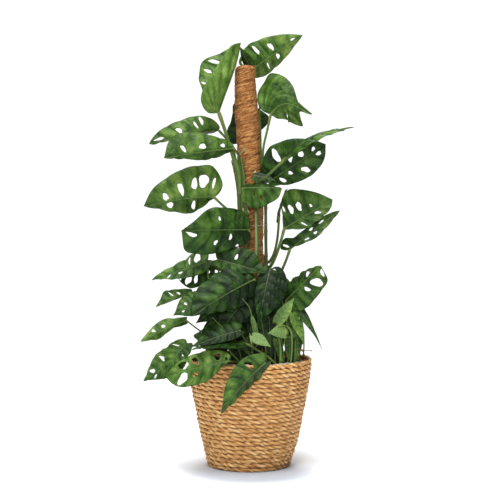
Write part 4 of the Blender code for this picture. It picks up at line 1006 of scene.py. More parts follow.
LEAVES = {
    "leaf_top_left": leaf("vine_left", 540, (-.9, -.5), (-60, -45, 691), (-18, -10, 825), (-.1, -1, .1),
        (67, 48), via=[(-22, -33, 577), (-36, -37, 616), (-47, -41, 653)], arch=(.1, .06), bow=(-.02, -.07),
        fold=(-2, 120), curl=(20, -55), tone=.48, pucker=(1, .15), crease=((0, .2, .3), (0, 0, 2.2)),
        band=1.4, stalk=1.45,
        holes=({2: (.8, .11, .1, .5), 3: (.7, .15, .1, .5), 4: (.66, .22, .14, .3)}, ""),
        edge=([(-.03, .22), (.08, .45), (.22, .72), (.38, .96), (.62, .99), (.8, .55)],
              [(-.05, .46), (.06, .93), (.24, 1), (.47, .86), (.68, .69), (.88, .48)])),
    "leaf_top_right": leaf("vine_back", 700, (.6, .8), (4, 32, 775), (102, -2, 840), (.1, -1, .2), (44, 26),
        fold=(0, -28), curl=(15, 10), tone=.48, spread=.06, crease=((0, .3, 0), (0, .3, 0)), band=1.5,
        holes=({0: (.62, .2, .22, .6), 2: (.58, .26, .15, .35), 3: (.38, .22, .17, .6),
                5: (.3, .14, .14, .3)},
               {2: (.45, .26, .08, .4), 3: (.3, .24, .14, .7)}),
        edge=([(-.16, .5), (-.04, .8), (.12, 1), (.32, .95), (.56, .74), (.82, .38)],
              [(-.08, .55), (0, .9), (.14, 1.06), (.3, 1), (.52, .8), (.78, .42)])),
    "leaf_top_back": leaf("vine_back", 596, (0, 1), (-14, 58, 632), (-12, 42, 716), (0, -1, 0), (32, 50),
        arch=.05, curl=10, tone=.16,
        edge=([(-.05, .6), (.05, .9), (.27, 1), (.46, .8), (.68, .68), (.9, .62)],
              [(0, .1), (.08, .3), (.25, .6), (.45, .95), (.62, 1), (.8, .6)])),
    "leaf_top_folded": leaf("vine_right", 556, (-.2, -1), (40, -36, 687), (119, -60, 687),
        (-.29, -.96, .05), (70, 38), via=[(25, -14, 585), (25.5, -26, 620), (33, -34, 656)], arch=(.02, 0),
        bow=(.48, .11), fold=(-8, -22), curl=(18, 10), tone=.41, pucker=(.15, .6),
        crease=((0, 0, 2.4), (0, 0, 1)), band=1.4, holes=("", {2: (.66, .17, .12, .68)}),
        edge=([(-.05, .26), (-.01, .45), (.07, .76), (.16, .88), (.25, 1), (.36, .29)],
              [(0, .12), (0, .45), (.17, .93), (.5, 1), (.88, .84), (.72, .2)])),
    "leaf_left_1": leaf("vine_left", 560, (-1, -.1), (-61, -25, 657), (-194, -45, 631), (0, -1, .3),
        (36, 34), via=[(-30, -25, 592), (-36, -27, 615), (-43, -27, 636)], arch=.06, fold=(-97, 3),
        curl=(0, 15), tone=.38, spread=.1, stalk=1.15,
        holes=("",
               {1: (.66, .25, .14, .68), 2: (.45, .2, .11, .28), 3: (.38, .23, .16, .72),
                5: (.32, .2, .3, .35)}),
        edge=([(0, .1), (.1, .7), (.3, 1), (.5, .86), (.7, .58), (.86, .22)],
              [(-.03, .2), (.1, .85), (.3, 1.02), (.5, .94), (.7, .76), (.87, .44)])),
    "leaf_left_2": leaf("vine_left", 612, (-.2, -1), (-31, -46, 622), (-163, -95, 604), (0, -1, .2),
        (24, 45), arch=(.08, .04), fold=(-60, -4), curl=(5, 15), tone=.34,
        holes=("", {1: (.34, .17, .24, .6), 3: (.24, .11, .3, .4), 4: (.26, .19, .11, .75)}),
        edge=([(0, .15), (.1, .6), (.3, .9), (.45, 1), (.72, .45), (.86, .2)],
              [(0, .15), (.06, .36), (.18, .5), (.36, .78), (.58, 1), (.86, .77)])),
    "leaf_left_3": leaf("vine_left", 483, (-1, -.2), (-69, -45, 528), (-203, -75, 512), (0, -1, .1),
        (36, 62), bow=(-.05, -.02), fold=(-38, 0), curl=(5, 15), tone=.44, spread=-.12,
        holes=({2: (.46, .28, .2, .5), 4: (.34, .24, .24, .4)},
               {0: (.52, .2, .1, .76), 1: (.47, .22, .34, .58), 2: (.4, .16, .25, .3),
                3: (.33, .22, .19, .38), 4: (.24, .2, .17, .6)}),
        edge=([(0, .08), (.06, .25), (.2, .75), (.36, 1), (.58, .75), (.8, .35)],
              [(-.14, .38), (-.02, .93), (.18, 1), (.4, .93), (.62, .72), (.84, .45)])),
    "leaf_left_4": leaf("vine_left", 436, (-.2, -1), (-2, -42, 465), (-130, -100, 467), (0, -1, .1),
        (46, 44), arch=(.1, .06), fold=-3, curl=(20, 15), tone=.18, spread=.26, pucker=1.2,
        holes=({1: (.84, .07, .18, .65), 2: (.3, .15, .11, .4), 3: (.48, .09, .12, .4),
                5: (.27, .12, .33, .37)},
               {1: (.48, .1, .14, .6), 3: (.46, .1, .09, .35)}),
        edge=([(-.02, .35), (.06, .6), (.26, .8), (.52, .98), (.8, .98), (.955, .8)],
              [(-.02, .35), (.03, .68), (.17, .92), (.42, 1), (.62, .9), (.82, .4)])),
    "leaf_centre_1": leaf("shoot_left", 322, (-.3, -1), (-62, -60, 409), (28, -75, 384), (0, -1, .3),
        (34, 18), arch=(.1, .06), fold=5, curl=20, tone=.16, spread=-.1, band=.4,
        holes=({2: (.38, .16, .17, .78)}, ""),
        edge=([(-.08, .3), (0, .5), (.2, .8), (.45, 1), (.68, .95), (.86, .5)], PLAIN)),
    "leaf_left_5": leaf("shoot_left", 292, (-.7, -.8), (-84, -52, 404), (-187, -85, 371), (0, -1, 1),
        (24, 30), via=[(-74, -60, 345)], arch=0, fold=5, curl=(15, 10), tone=.33,
        holes=(".o.oi.", ".0i..."),
        edge=(PLAIN, [(-.1, .5), (-.02, .85), (.12, 1), (.3, .7), (.55, .52), (.8, .35)])),
    "leaf_left_6": leaf("shoot_left", 312, (-1, .4), (-71, -36, 397), (-141, -50, 375), (0, -1, .3),
        (32, 14), arch=.06, fold=(-10, 5), curl=(10, 20), tone=.29, holes=(".o.O0s", ""),
        edge=([(0, .4), (.1, .7), (.3, .95), (.55, 1), (.78, .92), (.93, .5)], PLAIN)),
    "leaf_centre_2": leaf("vine_front", 330, (-.1, -1), (8, -75, 372), (-108, -130, 309), (0, -1, .4),
        (40, 50), arch=(.1, .08), fold=(-50, -5), curl=(10, 25), tone=.06, spread=.24, pucker=1.9,
        crease=((0, .3, 0), (0, .9, 0)), rib=3,
        edge=(PLAIN, [(-.08, .4), (.08, .85), (.3, 1), (.54, .97), (.76, .78), (.92, .42)])),
    "leaf_left_7": leaf("shoot_left", 284, (-1, -.2), (-111, -64, 347), (-180, -90, 320), (0, -1, .6),
        (6, 22), arch=.04, fold=(-90, 3), curl=(0, 10), tone=.36, holes=("", "..oi.."),
        edge=(PLAIN, [(-.02, .25), (.08, .42), (.28, .7), (.5, .97), (.64, 1), (.8, .5)])),
    "leaf_left_8": leaf("shoot_left", 266, (-.6, -.8), (-92, -80, 334), (-146, -96, 305), (0, -.9, .4),
        (24, 26), curl=20, holes=("..o.o.", "...o..")),
    "leaf_left_9": leaf("shoot_left", 246, (-1, -.3), (-122, -80, 294), (-208, -105, 256), (0, -1, .5),
        (15, 20), arch=(.06, .04), fold=(-62, 0), curl=(0, 10), tone=.44, spread=.15, holes=("", "...oi."),
        edge=([(-.03, .5), (.08, .6), (.28, .4), (.48, .7), (.64, 1), (.8, .6)],
              [(-.05, .25), (.06, .45), (.2, .68), (.36, 1), (.6, .86), (.83, .43)])),
    "leaf_left_10": leaf("shoot_left", 216, (-1, 0), (-133, -50, 219), (-206, -60, 173), (0, -.9, .4),
        (24, 33), arch=.06, fold=(-10, 0), curl=15, tone=.38, holes=("....i.", "..O.O.")),
    "leaf_left_11": leaf("shoot_left", 228, (-.8, -.6), (-121, -78, 249), (-163, -96, 190), (-.2, -.8, .6),
        (20, 28), arch=(.18, .1), curl=20, tone=.36, holes=("..O...", ".i....")),
    "leaf_rim_1": leaf("shoot_front", 212, (-1, -.2), (-41, -129, 222), (-161, -104, 190), (0, -1, .4),
        (31, 30), arch=(.06, .05), curl=15, tone=.44, holes=("...o0.", "oO.O0."),
        edge=([(0, .1), (.12, .3), (.3, .85), (.52, 1), (.75, .96), (.9, .62)],
              [(-.05, .3), (.03, .7), (.22, .95), (.42, .95), (.64, .82), (.84, .45)])),
    "leaf_rim_2": leaf("shoot_front", 208, (.7, -.7), (28, -142, 220), (-55, -145, 124), (0, -1, .1),
        (28, 34), via=[(18, -106, 225)], arch=(.05, .03), bow=-.05, fold=(-60, 0), curl=5, tone=.25,
        pucker=1.2, crease=((.3, 0, 0), (.5, .3, 0)), holes=("", ".O....")),
    "leaf_right_1": leaf("vine_right", 532, (.8, -.6), (38, -25, 558), (144, -72, 630), (0, -1, 0),
        (54, 35), arch=.06, fold=(-3, -8), curl=10, tone=.2, spread=.1,
        holes=({2: (.6, .24, .3, .38), 3: (.32, .16, .22, .4), 4: (.25, .13, .2, .3),
                5: (.3, .16, .12, .2)},
               {1: (.44, .24, .2, .6), 2: (.22, .12, .15, .65), 3: (.53, .2, .24, .66),
                5: (.4, .2, .16, .28)}),
        edge=([(-.08, .35), (.03, .62), (.24, 1), (.44, .98), (.66, .8), (.88, .4)],
              [(-.03, .2), (.1, .5), (.28, .85), (.5, 1), (.7, .92), (.88, .6)])),
    # Its large spread makes the blade's base much darker than its tip: painted shade on the base.
    "leaf_right_2": leaf("vine_front", 556, (.3, -1), (68, -92, 604), (196, -106, 662), (0, -.25, 1),
        (30, 27), via=[(34, -64, 571)], arch=(.2, .08), fold=-5, curl=15, tone=.24, spread=.34, stalk=1.6),
    "leaf_centre_3": leaf("vine_left", 520, (-.3, -1), (-14, -42, 545), (61, -62, 546), (0, -1, .2),
        (20, 40), arch=(.16, .1), fold=(-50, -5), curl=(10, 20),
        holes=("", {2: (.22, .13, .12, .5), 3: (.5, .13, .15, .4)}),
        edge=(PLAIN, [(-.05, .36), (.05, .8), (.25, 1), (.48, .97), (.72, .75), (.93, .45)])),
    "leaf_right_3": leaf("vine_right", 385, (.6, -.8), (66, -45, 468), (157, -75, 525), (0, -1, .1),
        (60, 26), fold=(-3, -36), curl=(15, 5), tone=.34, stalk=1.2,
        holes=({1: (.76, .16, .12, .7), 2: (.42, .15, .28, .42), 3: (.34, .15, .24, .32),
                4: (.24, .07, .1, .35)},
               {2: (.52, .28, .1, .45), 4: (.36, .22, .2, .35)}),
        edge=([(.02, .12), (.08, .4), (.2, .8), (.38, 1), (.6, .82), (.84, .42)],
              [(0, .15), (.1, .45), (.3, 1), (.5, .98), (.72, .86), (.88, .6)])),
    "leaf_right_4": leaf("vine_right", 398, (1, -.2), (56, -20, 490), (75, 52, 541), (-1, -.42, 0), 24,
        arch=.06, curl=10, tone=.18, stalk=1.7),
    "leaf_right_5": leaf("vine_right", 350, (1, -.3), (77, -30, 426), (173, -50, 503), (-.2, -1, .2),
        (25, 19), arch=.06, fold=(-5, -50), curl=(10, 5), stalk=1.9, holes=("i..oo.", "..oo.."),
        edge=([(-.12, .5), (.02, 1), (.17, .52), (.36, .52), (.6, .45), (.84, .3)],
              [(0, .05), (.1, .12), (.26, .6), (.46, 1), (.62, .77), (.84, .37)])),
    "leaf_right_6": leaf("shoot_right", 274, (-.6, -.8), (69, -60, 330), (135, -80, 399), (0, -1, .1),
        (32, 38), fold=(-52, 0), curl=(5, 10), tone=.23, pucker=1.3, holes=("....O.", "...o0m"),
        edge=([(-.05, .4), (.06, .8), (.28, 1), (.5, .87), (.7, .65), (.86, .35)],
              [(-.12, .35), (.02, .78), (.2, 1), (.42, .99), (.68, .9), (.9, .74)])),
    "leaf_centre_4": leaf("vine_right", 330, (.2, -1), (38, -65, 390), (15, -95, 286), (0, -1, .3),
        (40, 20), arch=(.12, .06), fold=(0, -10), curl=20, tone=-.06, pucker=1.7,
        crease=((.9, 0, 0), (.6, 0, 0)), rib=3, holes=("o.....", "")),
    "leaf_low_1": leaf("shoot_front", 244, (-1, -.5), (-19, -96, 276), (-110, -118, 247), (0, -.8, .6),
        (15, 30), arch=(.1, .06), curl=20, tone=.07),
    "leaf_low_2": leaf("shoot_front", 230, (-.6, -.8), (-15, -104, 250), (-110, -122, 242), (0, -.25, 1),
        22, arch=(.1, .06), fold=5, curl=20, tone=.16),
    "leaf_low_3": leaf("vine_left", 262, (-.3, -1), (0, -55, 294), (-96, -84, 273), (0, -1, .3), 30,
        arch=(.06, .05), curl=10, tone=0),
    "leaf_low_4": leaf("vine_front", 225, (.1, -1), (23, -46, 250), (78, -52, 310), (0, -1, .3), 30,
        arch=(.06, .05), curl=10, tone=0),
    "leaf_hanging": leaf("shoot_right", 262, (.2, -1), (90, -56, 320), (138, -70, 236), (0, -1, .2), (9, 8),
        arch=(.12, .05), bow=(0, .06), curl=20, tone=.22,
        edge=[(-.04, .5), (.06, .9), (.22, 1), (.42, .74), (.62, .36), (.82, .16)]),
    "leaf_rolled": leaf("shoot_middle", 246, (-.2, -1), (51, -90, 291), (84, -95, 338), (0, -1, .1), 15,
        arch=.05, curl=-70, tone=.56, pale=.5),
    "leaf_pointed": leaf("shoot_middle", 232, (.5, -1), (68, -95, 266), (34, -110, 273), (0, -1, .3),
        (6, 20), arch=.05, curl=10, tone=.58, pale=.6),
    "leaf_pale": leaf("shoot_front", 236, (.2, -1), (5, -100, 267), (40, -116, 247), (0, -.9, .4), 11,
        arch=(.08, .05), curl=10, tone=.5, pale=.8),
    "leaf_thin": leaf("shoot_front", 246, (.6, -.4), (12, -88, 269), (2, -86, 309), (0, -1, .1), 7,
        arch=.05, curl=-80, tone=.54, pale=.6),
    "leaf_back_1": leaf("vine_back", 700, (-.9, .4), (-14, 62, 749), (-12, 160, 726), (-1, 0, .25),
        (36, 34), via=[(-26, 38, 722)], arch=.06, fold=6, curl=12, holes=(".Oo...", "..Oo..")),
    "leaf_back_2": leaf("vine_back", 545, (.3, 1), (2, 54, 578), (10, 172, 548), (1, 0, .2), (40, 38),
        fold=6, holes=(".OO...", ".oOo..")),
    "leaf_back_3": leaf("vine_back", 478, (-.2, 1), (-12, 56, 500), (-16, 182, 452), (-1, 0, .2), (42, 40),
        fold=6, holes=(".OOo..", "..O...")),
    "leaf_back_4": leaf("vine_back", 400, (.5, .9), (14, 62, 428), (24, 168, 372), (1, .1, .3), (40, 38),
        arch=(.1, .06), fold=6, holes=(".O.o..", ".oO...")),
    "leaf_back_5": leaf("vine_back", 345, (-1, .3), (-46, 52, 386), (-84, 104, 292), (-.2, 1, .5), (40, 38),
        arch=.08, fold=4, curl=16, holes=(".OO...", "..Oo..")),
    "leaf_back_6": leaf("shoot_back", 322, (.6, .8), (36, 92, 366), (66, 128, 266), (.2, 1, .4), (40, 38),
        arch=.08, fold=4, curl=16, holes=("..Oo..", ".Oo...")),
    "leaf_back_7": leaf("shoot_back", 300, (-.6, .8), (-20, 104, 322), (-46, 168, 240), (-.1, .8, .7), 38,
        arch=(.1, .08), fold=4, curl=16, holes=(".oO...", "..O...")),
    "leaf_back_8": leaf("shoot_back", 262, (1, .1), (58, 66, 292), (84, 108, 226), (.4, .6, .8), 28,
        arch=(.1, .08), fold=4, holes=("..o...", "..o...")),
    "leaf_back_9": leaf("shoot_back", 214, (.4, 1), (22, 131, 222), (52, 142, 122), (.1, 1, .1), 34,
        arch=(.06, .05), holes=(".Oo...", "..O...")),
    "leaf_back_10": leaf("shoot_back", 226, (-.8, .6), (-52, 122, 226), (-84, 132, 138), (-.3, 1, .1), 32,
        arch=(.06, .05), holes=("..O...", ".o....")),
    "leaf_back_11": leaf("shoot_left", 240, (-.6, .8), (-76, 20, 268), (-104, 92, 230), (-.4, .2, 1), 26,
        arch=(.1, .08), fold=4, holes=("..o...", "")),
}
# The small leaves that are part of a shoot's own solid, and that shoot.
ON_SHOOT = {"leaf_thin": "shoot_front", "leaf_pale": "shoot_front", "leaf_rolled": "shoot_middle",
            "leaf_pointed": "shoot_middle"}

# Small leaves in the shade at the plant's foot, by the vine that they grow on, with a deep tone that is
# partly painted shade; the rest is as above.
SHADED = {"curl": (14, 16), "fold": (3, 5), "tone": .02, "spread": 0}
SHADED_LEAVES = {
    "vine_front": [
        (562, (-.3, -1), (8, -38, 570), (50, -47, 560), (0, -1, .3), (9, 15),
         dict(fold=(-10, 4), curl=(16, 14), tone=.1)),
        (292, (0, -1), (23, -52, 330), (-48, -74, 284), (0, -1, .3), (26, 28),
         dict(fold=(-8, 4), curl=(16, 14), holes=("", "..o..."))),
        (262, (.4, -1), (2, -56, 296), (52, -72, 236), (.1, -1, .3), 24, dict(fold=(4, -6), curl=(14, 18)))],
    "vine_right": [
        (296, (.3, -1), (42, -42, 330), (80, -58, 258), (.1, -1, .2), (24, 22),
         dict(fold=(3, -6), holes=("..o...", ""))),
        (232, (.8, -.6), (66, -44, 292), (89, -60, 226), (.2, -1, .2), (11, 20), dict(fold=(0, 5)))],
    "vine_left": [
        (244, (-.5, -1), (-44, -62, 298), (-98, -92, 252), (0, -1, .4), 22,
         dict(fold=(5, 0), holes=("", "..o..."))),
        (222, (-.2, -1), (-16, -52, 272), (-74, -74, 230), (0, -1, .5), (22, 20), dict(fold=(0, 5))),
        (300, (-.3, -1), (-8, -64, 334), (-66, -82, 262), (0, -1, .3), 26, dict(fold=(0, 5)))],
    "shoot_front": [
        (222, (-.7, .4), (-3, -68, 246), (-56, -78, 212), (0, -1, .2), (17, 15),
         dict(fold=(0, 5), tone=.05)),
        (236, (-.2, 1), (0, -58, 286), (10, -66, 204), (0, -1, .1), 22, dict(fold=(0, 5))),
        (240, (1, .3), (36, -70, 300), (40, -80, 214), (.1, -1, .2), (20, 18), dict())],
    "shoot_middle": [
        (220, (-.4, 1), (42, -38, 282), (46, -52, 200), (0, -1, .1), (23, 24), dict(tone=.05)),
        (248, (.2, 1), (66, -46, 334), (74, -56, 238), (.1, -1, .2), (26, 24), dict()),
        (214, (-.2, -1), (50, -84, 258), (64, -90, 212), (0, -1, .2), 8, dict(curl=(24, 26), tone=.3)),
        (222, (.8, -.4), (76, -70, 262), (74, -78, 212), (.2, -1, .2), (9, 10),
         dict(curl=(24, 26), tone=.26))],
    "shoot_right": [
        (270, (-.8, -.5), (72, -58, 304), (94, -66, 246), (0, -1, .2), (13, 11),
         dict(arch=(.1, .06), curl=(24, 26), tone=.28)),
        (278, (-.2, -1), (82, -64, 306), (103, -70, 243), (.1, -1, .3), (11, 9),
         dict(arch=(.12, .06), bow=(-.06, .1), fold=(-8, 5), curl=(24, 26), tone=.62)),
        (240, (-.6, -.6), (84, -30, 292), (84, -46, 203), (.1, -1, .1), (13, 20), dict(tone=.07)),
        (226, (-.8, -.6), (92, -56, 270), (90, -62, 206), (.1, -1, .1), (9, 10),
         dict(curl=(24, 26), tone=.34))],
    "shoot_left": [
        (262, (-.4, -1), (-52, -66, 322), (-104, -84, 288), (0, -1, .3), (17, 18), dict(tone=.04))],
    "vine_back": [
        (706, (.3, -.6), (1, 24, 777), (-21, 8, 820), (0, -1, .1), (9, 11), dict(tone=.2))],
}

# Bare stalks and young runners at the foot: points of the axis, radius at both ends, and green.
RUNNERS = {
    "shoot_front": [
        ([(-19, -92, 254), (0, -95, 247), (23, -96, 233), (38, -95, 222), (50, -90, 208), (56, -86, 188)],
         2.0, 2.9, .60),
        ([(-50, -88, 252), (-42, -92, 243), (-34, -94, 231), (-20, -92, 214), (-12, -88, 188)],
         1.5, 2.3, .54),
        ([(-15, -100, 338), (-2, -102, 322), (4, -102, 300), (6, -96, 270), (4, -78, 236)], 0.8, 1.3, .36),
        ([(-72, -98, 302), (-60, -100, 290), (-40, -94, 270), (-14, -84, 240), (2, -77, 225)], 0.7, 1.3, .42),
        ([(-24, -86, 286), (-30, -90, 262), (-20, -90, 235), (-10, -86, 188)], 1.0, 1.5, .22),
        ([(20, -84, 306), (27, -84, 262), (31, -84, 225), (33, -84, 188)], 1.0, 1.6, .20)],
    "shoot_middle": [
        ([(44, -72, 286), (47, -74, 250), (48, -76, 220), (48, -76, 188)], 1.2, 2.2, .40),
        ([(55, -92, 262), (58, -92, 240), (58, -90, 215), (57, -86, 188)], 2.2, 2.6, .62),
        ([(70, -66, 296), (73, -68, 262), (73, -70, 230), (72, -70, 188)], 1.8, 2.4, .50),
        ([(62, -76, 330), (66, -80, 300), (60, -82, 262), (64, -80, 225), (66, -78, 188)], 1.2, 2.0, .44),
        ([(34, -104, 270), (50, -100, 283), (66, -95, 286), (78, -90, 274), (80, -84, 240), (76, -78, 188)],
         1.2, 1.8, .66)],
    "shoot_right": [
        ([(84, -60, 306), (87, -62, 262), (86, -64, 225), (85, -64, 188)], 1.6, 2.4, .40),
        ([(92, -52, 300), (94, -54, 262), (93, -54, 225), (92, -52, 188)], 1.0, 1.5, .22)],
}


def bezier(t, *points):
    """Curve from the first of four points to the last, drawn towards the two between them."""
    a, b, c, d = points
    return (1 - t) ** 3 * a + 3 * t * (1 - t) ** 2 * b + 3 * t ** 2 * (1 - t) * c + t ** 3 * d


def outline_at(outline, t):
    """Smooth curve through the outline points, at t from 0 to the number of spans."""
    points = np.array(outline, float)
    ends = np.vstack([(0.0, 0.0), points, 2 * points[-1] - points[-2]])
    piece = np.clip(np.floor(t).astype(int), 0, len(points) - 2)
    return spline(*(ends[piece + k] for k in range(4)), (t - piece)[..., None])


def side_vein(outline, k, p):
    """Point at p (0 midrib, 1 edge) along side vein k: a curve with one handle, in outline places."""
    start, end = np.array([RIB[k], 0.0]), np.array(outline[k], float)
    bend = start + (end - start) * (0.36, 0.56)
    if k == 0:
        bend = np.array([min(-0.03, 0.7 * end[0]), 0.28 * end[1]])
    return (1 - p) ** 2 * start + 2 * p * (1 - p) * bend + p ** 2 * end


def cell_place(outline, k, p, q):
    """Outline place between side veins k and k + 1: p out from the midrib, q from one vein to the next.

    It is the mix of the two veins, plus what the midrib and the edge differ from straight lines."""
    out, across = p[..., None], q[..., None]
    rib = np.stack([RIB[k] + q * (RIB[k + 1] - RIB[k]), 0 * q], -1)
    inner = (1 - across) * (RIB[k], 0) + across * np.array((RIB[k + 1], 0))
    outer = (1 - across) * outline[k] + across * np.array(outline[k + 1])
    veins = (1 - across) * side_vein(outline, k, out) + across * side_vein(outline, k + 1, out)
    return veins + (1 - out) * (rib - inner) + out * (outline_at(outline, k + q) - outer)


def cell_grid(holes, k, seed):
    """The places p, q of a cell's grid, and whether it has a hole: straight lines if it has none, or
    rings that close in on it, from the cell's border to a ragged oval."""
    hole = HOLES.get(holes[k:k + 1]) if isinstance(holes, str) else holes.get(k)
    lines = np.linspace(0, 1, BLADE_STEPS + 1) ** 0.9
    if hole is None:
        return (*np.meshgrid(lines, VEIN_STEPS, indexing="ij"), False)
    at, half_out, half_along, across = hole
    n, m = BLADE_STEPS, len(VEIN_STEPS) - 1
    p = np.concatenate([lines[:-1], np.ones(m), lines[:0:-1], np.zeros(m)])
    q = np.concatenate([np.zeros(n), VEIN_STEPS[:-1], np.ones(n), VEIN_STEPS[:0:-1]])
    angle = np.arctan2((q - across) / half_along, (p - at) / half_out)
    ragged = 1 + sum(0.1 * np.sin(n * angle + n * n * seed) for n in (2, 3)) + 0.05 * np.sin(5 * angle + seed)
    hole_p, hole_q = at + half_out * ragged * np.cos(angle), across + half_along * ragged * np.sin(angle)
    step = (np.linspace(0, 1, HOLE_RINGS + 1) ** 0.8)[:, None]
    return p + (hole_p - p) * step, q + (hole_q - q) * step, True


def midrib(leaf, u):
    """Points and directions of the midrib at u, a curve with two handles, and the blade's upward way."""
    base, tip = np.array(leaf["base"], float), np.array(leaf["tip"], float)
    chord = tip - base
    ahead = unit(chord)
    facing = np.array(leaf["facing"], float)
    up = unit(facing - ahead * (facing @ ahead))
    right = np.cross(up, ahead)
    length = np.linalg.norm(chord)
    rises = [up * arch + right * bow for arch, bow in zip(leaf["arch"], leaf["bow"])]
    first = base + chord / 3 + length * rises[0]
    last = tip - chord / 3 + length * rises[1]
    t = np.clip(u, 0, 1)[..., None]
    ways = unit((1 - t) ** 2 * (first - base) + 2 * t * (1 - t) * (last - first) + t ** 2 * (tip - last))
    before = np.minimum(u, 0)[..., None] * length * unit(first - base)
    return bezier(t, base, first, last, tip) + before, ways, up


def blade_point(leaf, side, place):
    """Point for an outline place (u, v): out from the midrib on an arc that starts at the fold's angle."""
    u, v = place[..., 0], place[..., 1]
    points, ways, up = midrib(leaf, u)
    right = unit(np.cross(up, ways))
    above = np.cross(ways, right)
    reach = v * leaf["width"][side]
    fold = math.radians(leaf["fold"][side])
    turn = math.radians(leaf["curl"][side] or 0.01) / leaf["width"][side]
    out = (np.sin(fold) - np.sin(fold - turn * reach)) / turn
    rise = (np.cos(fold - turn * reach) - np.cos(fold)) / turn
    return points + right * ((1, -1)[side] * out)[..., None] + above * rise[..., None]


def wave(turns):
    """Sine wave that repeats with every whole turn."""
    return np.sin(2 * np.pi * turns)


def half_blade(leaf, side, seed):
    """One half of the blade: the middle surface, cell by cell, with its marks and its UV map in 100 mm.

    relief is the height that the surface is raised by: a cushion between two veins, sin(pi q) in
    shape with a dip in its middle, the leaf's wrinkles, and a slow wave along the edge. band is
    painted shade that follows this relief: 0 where the green is even, swinging to both sides from vein
    to vein and on the wrinkles."""
    outline = [*leaf["edge"][side], (1, 0)]
    length = np.linalg.norm(np.array(leaf["tip"], float) - leaf["base"])
    width, pucker, heights = (leaf[key][side] for key in ("width", "pucker", "crease"))
    shapes = []
    for k in range(CELLS):
        p, q, ringed = cell_grid(leaf["holes"][side], k, seed + k)
        place = cell_place(outline, k, p, q)
        u, v = place[..., 0], place[..., 1]
        across = cell_place(outline, k, p, 1 + 0 * q) - cell_place(outline, k, p, 0 * q)
        gap = np.linalg.norm(across * (length, width), axis=-1)
        inside = np.sin(np.pi * np.clip(p, 0, 1))
        swell = np.sin(np.pi * q) ** 0.8 * np.clip(gap / 18, 0.15, 1.2) * np.clip(3 * p, 0, 1) ** 0.7
        dip = np.exp(-((q - 0.5 + 0.12 * np.sin(5 * p + seed)) * gap / 1.8) ** 2) * np.clip(gap / 20, 0, 1)
        swell = swell - 0.4 * dip * inside
        edge = width * p ** 2 * (0.030 * np.sin(11 * u + 5 * side + seed)
                                 + 0.018 * np.sin(23 * u + 2 * side + 3 * seed))
        fan = 2 * np.pi * np.arctan2(v * width, (u + 0.10) * length) / FAN_PERIOD
        wrinkles = (wave(5.3 * v + 0.30 * np.sin(5 * u + seed)),
                    wave(2 * q + 0.12 * np.sin(7 * p + k)),
                    np.sin(fan + 0.8 * np.sin(4 * u + seed)) * np.clip(2.5 * p, 0, 1))
        folds = sum(high * one for high, one in zip(heights, wrinkles)) * inside ** 0.5
        band = 0.5 * min(pucker, 1) * wave(q - 0.1) + 0.8 * folds
        on_rim = p > 0.999
        if ringed:
            on_rim = on_rim | (np.arange(len(p)) == len(p) - 1)[:, None]
        made = sheet(blade_point(leaf, side, place), loop=(False, ringed),
                     relief=QUILT * pucker * min(1, width / SWELL_WIDTH) * swell + folds + edge,
                     vein=np.minimum(np.minimum(q, 1 - q) * gap, v * width),
                     band=band * np.clip(gap / 12, 0, 1) * np.clip(4 * p, 0, 1),
                     far=u - 0.5, rim=on_rim, rib=v * width)
        index = made["faces"][0]
        flat = place * (length / 100, (width, -width)[side] / 100)
        made["uv"] = [flat.reshape(-1, 2)[index]]
        if (side == 0) != ringed:
            made["faces"], made["uv"] = [index[:, ::-1]], [made["uv"][0][:, ::-1]]
        shapes.append(made)
    return shapes


def normals(points, faces):
    """Normal at each point: the sum of the cross products of its faces' diagonals, made unit length."""
    total = np.zeros_like(points)
    for part in faces:
        corners = points[part]
        cross = np.cross(corners[:, 2] - corners[:, 0], corners[:, -1] - corners[:, 1])
        for corner in range(part.shape[1]):
            np.add.at(total, part[:, corner], cross)
    return unit(total + 1e-12)


def blade(leaf, seed):
    """Closed blade: the two halves welded, raised by their relief, then given an upper and a lower face.

    The faces are BLADE apart and draw together at the rim, where a narrow wall joins them."""
    flat = welded(joined(half_blade(leaf, 0, seed) + half_blade(leaf, 1, seed + 2.0)))
    marks, faces, uv = flat["marks"], flat["faces"], flat["uv"]
    points = flat["points"] + normals(flat["points"], faces) * marks["relief"][:, None]
    way = normals(points, faces)
    half = BLADE / 2 * (1 - 0.55 * marks["rim"])[:, None]
    groove = GROOVE * np.exp(-(marks["vein"] / 0.9) ** 2)[:, None] * (1 - marks["rim"])[:, None]
    count = len(points)
    pairs = [(part[:, [k, (k + 1) % part.shape[1]]], spots[:, [k, (k + 1) % part.shape[1]]])
             for part, spots in zip(faces, uv) for k in range(part.shape[1])]
    ends, spots = (np.vstack(found) for found in zip(*pairs))
    keys = ends[:, 0] * count + ends[:, 1]
    open_edge = ~np.isin(keys, ends[:, 1] * count + ends[:, 0])
    a, b = ends[open_edge].T
    walls = np.stack([a, a + count, b + count, b], -1)
    doubled = {key: np.tile(marks[key], 2) for key in ("vein", "rim", "rib", "band", "far")}
    return {"points": np.vstack([points + way * (half - groove), points - way * (half + 0.6 * groove)]),
            "faces": faces + [part[:, ::-1] + count for part in faces] + [walls],
            "uv": uv + [part[:, ::-1] for part in uv] + [spots[open_edge][:, [0, 0, 1, 1]]],
            "marks": {**doubled, "under": np.repeat([0.0, 1.0], count)}}


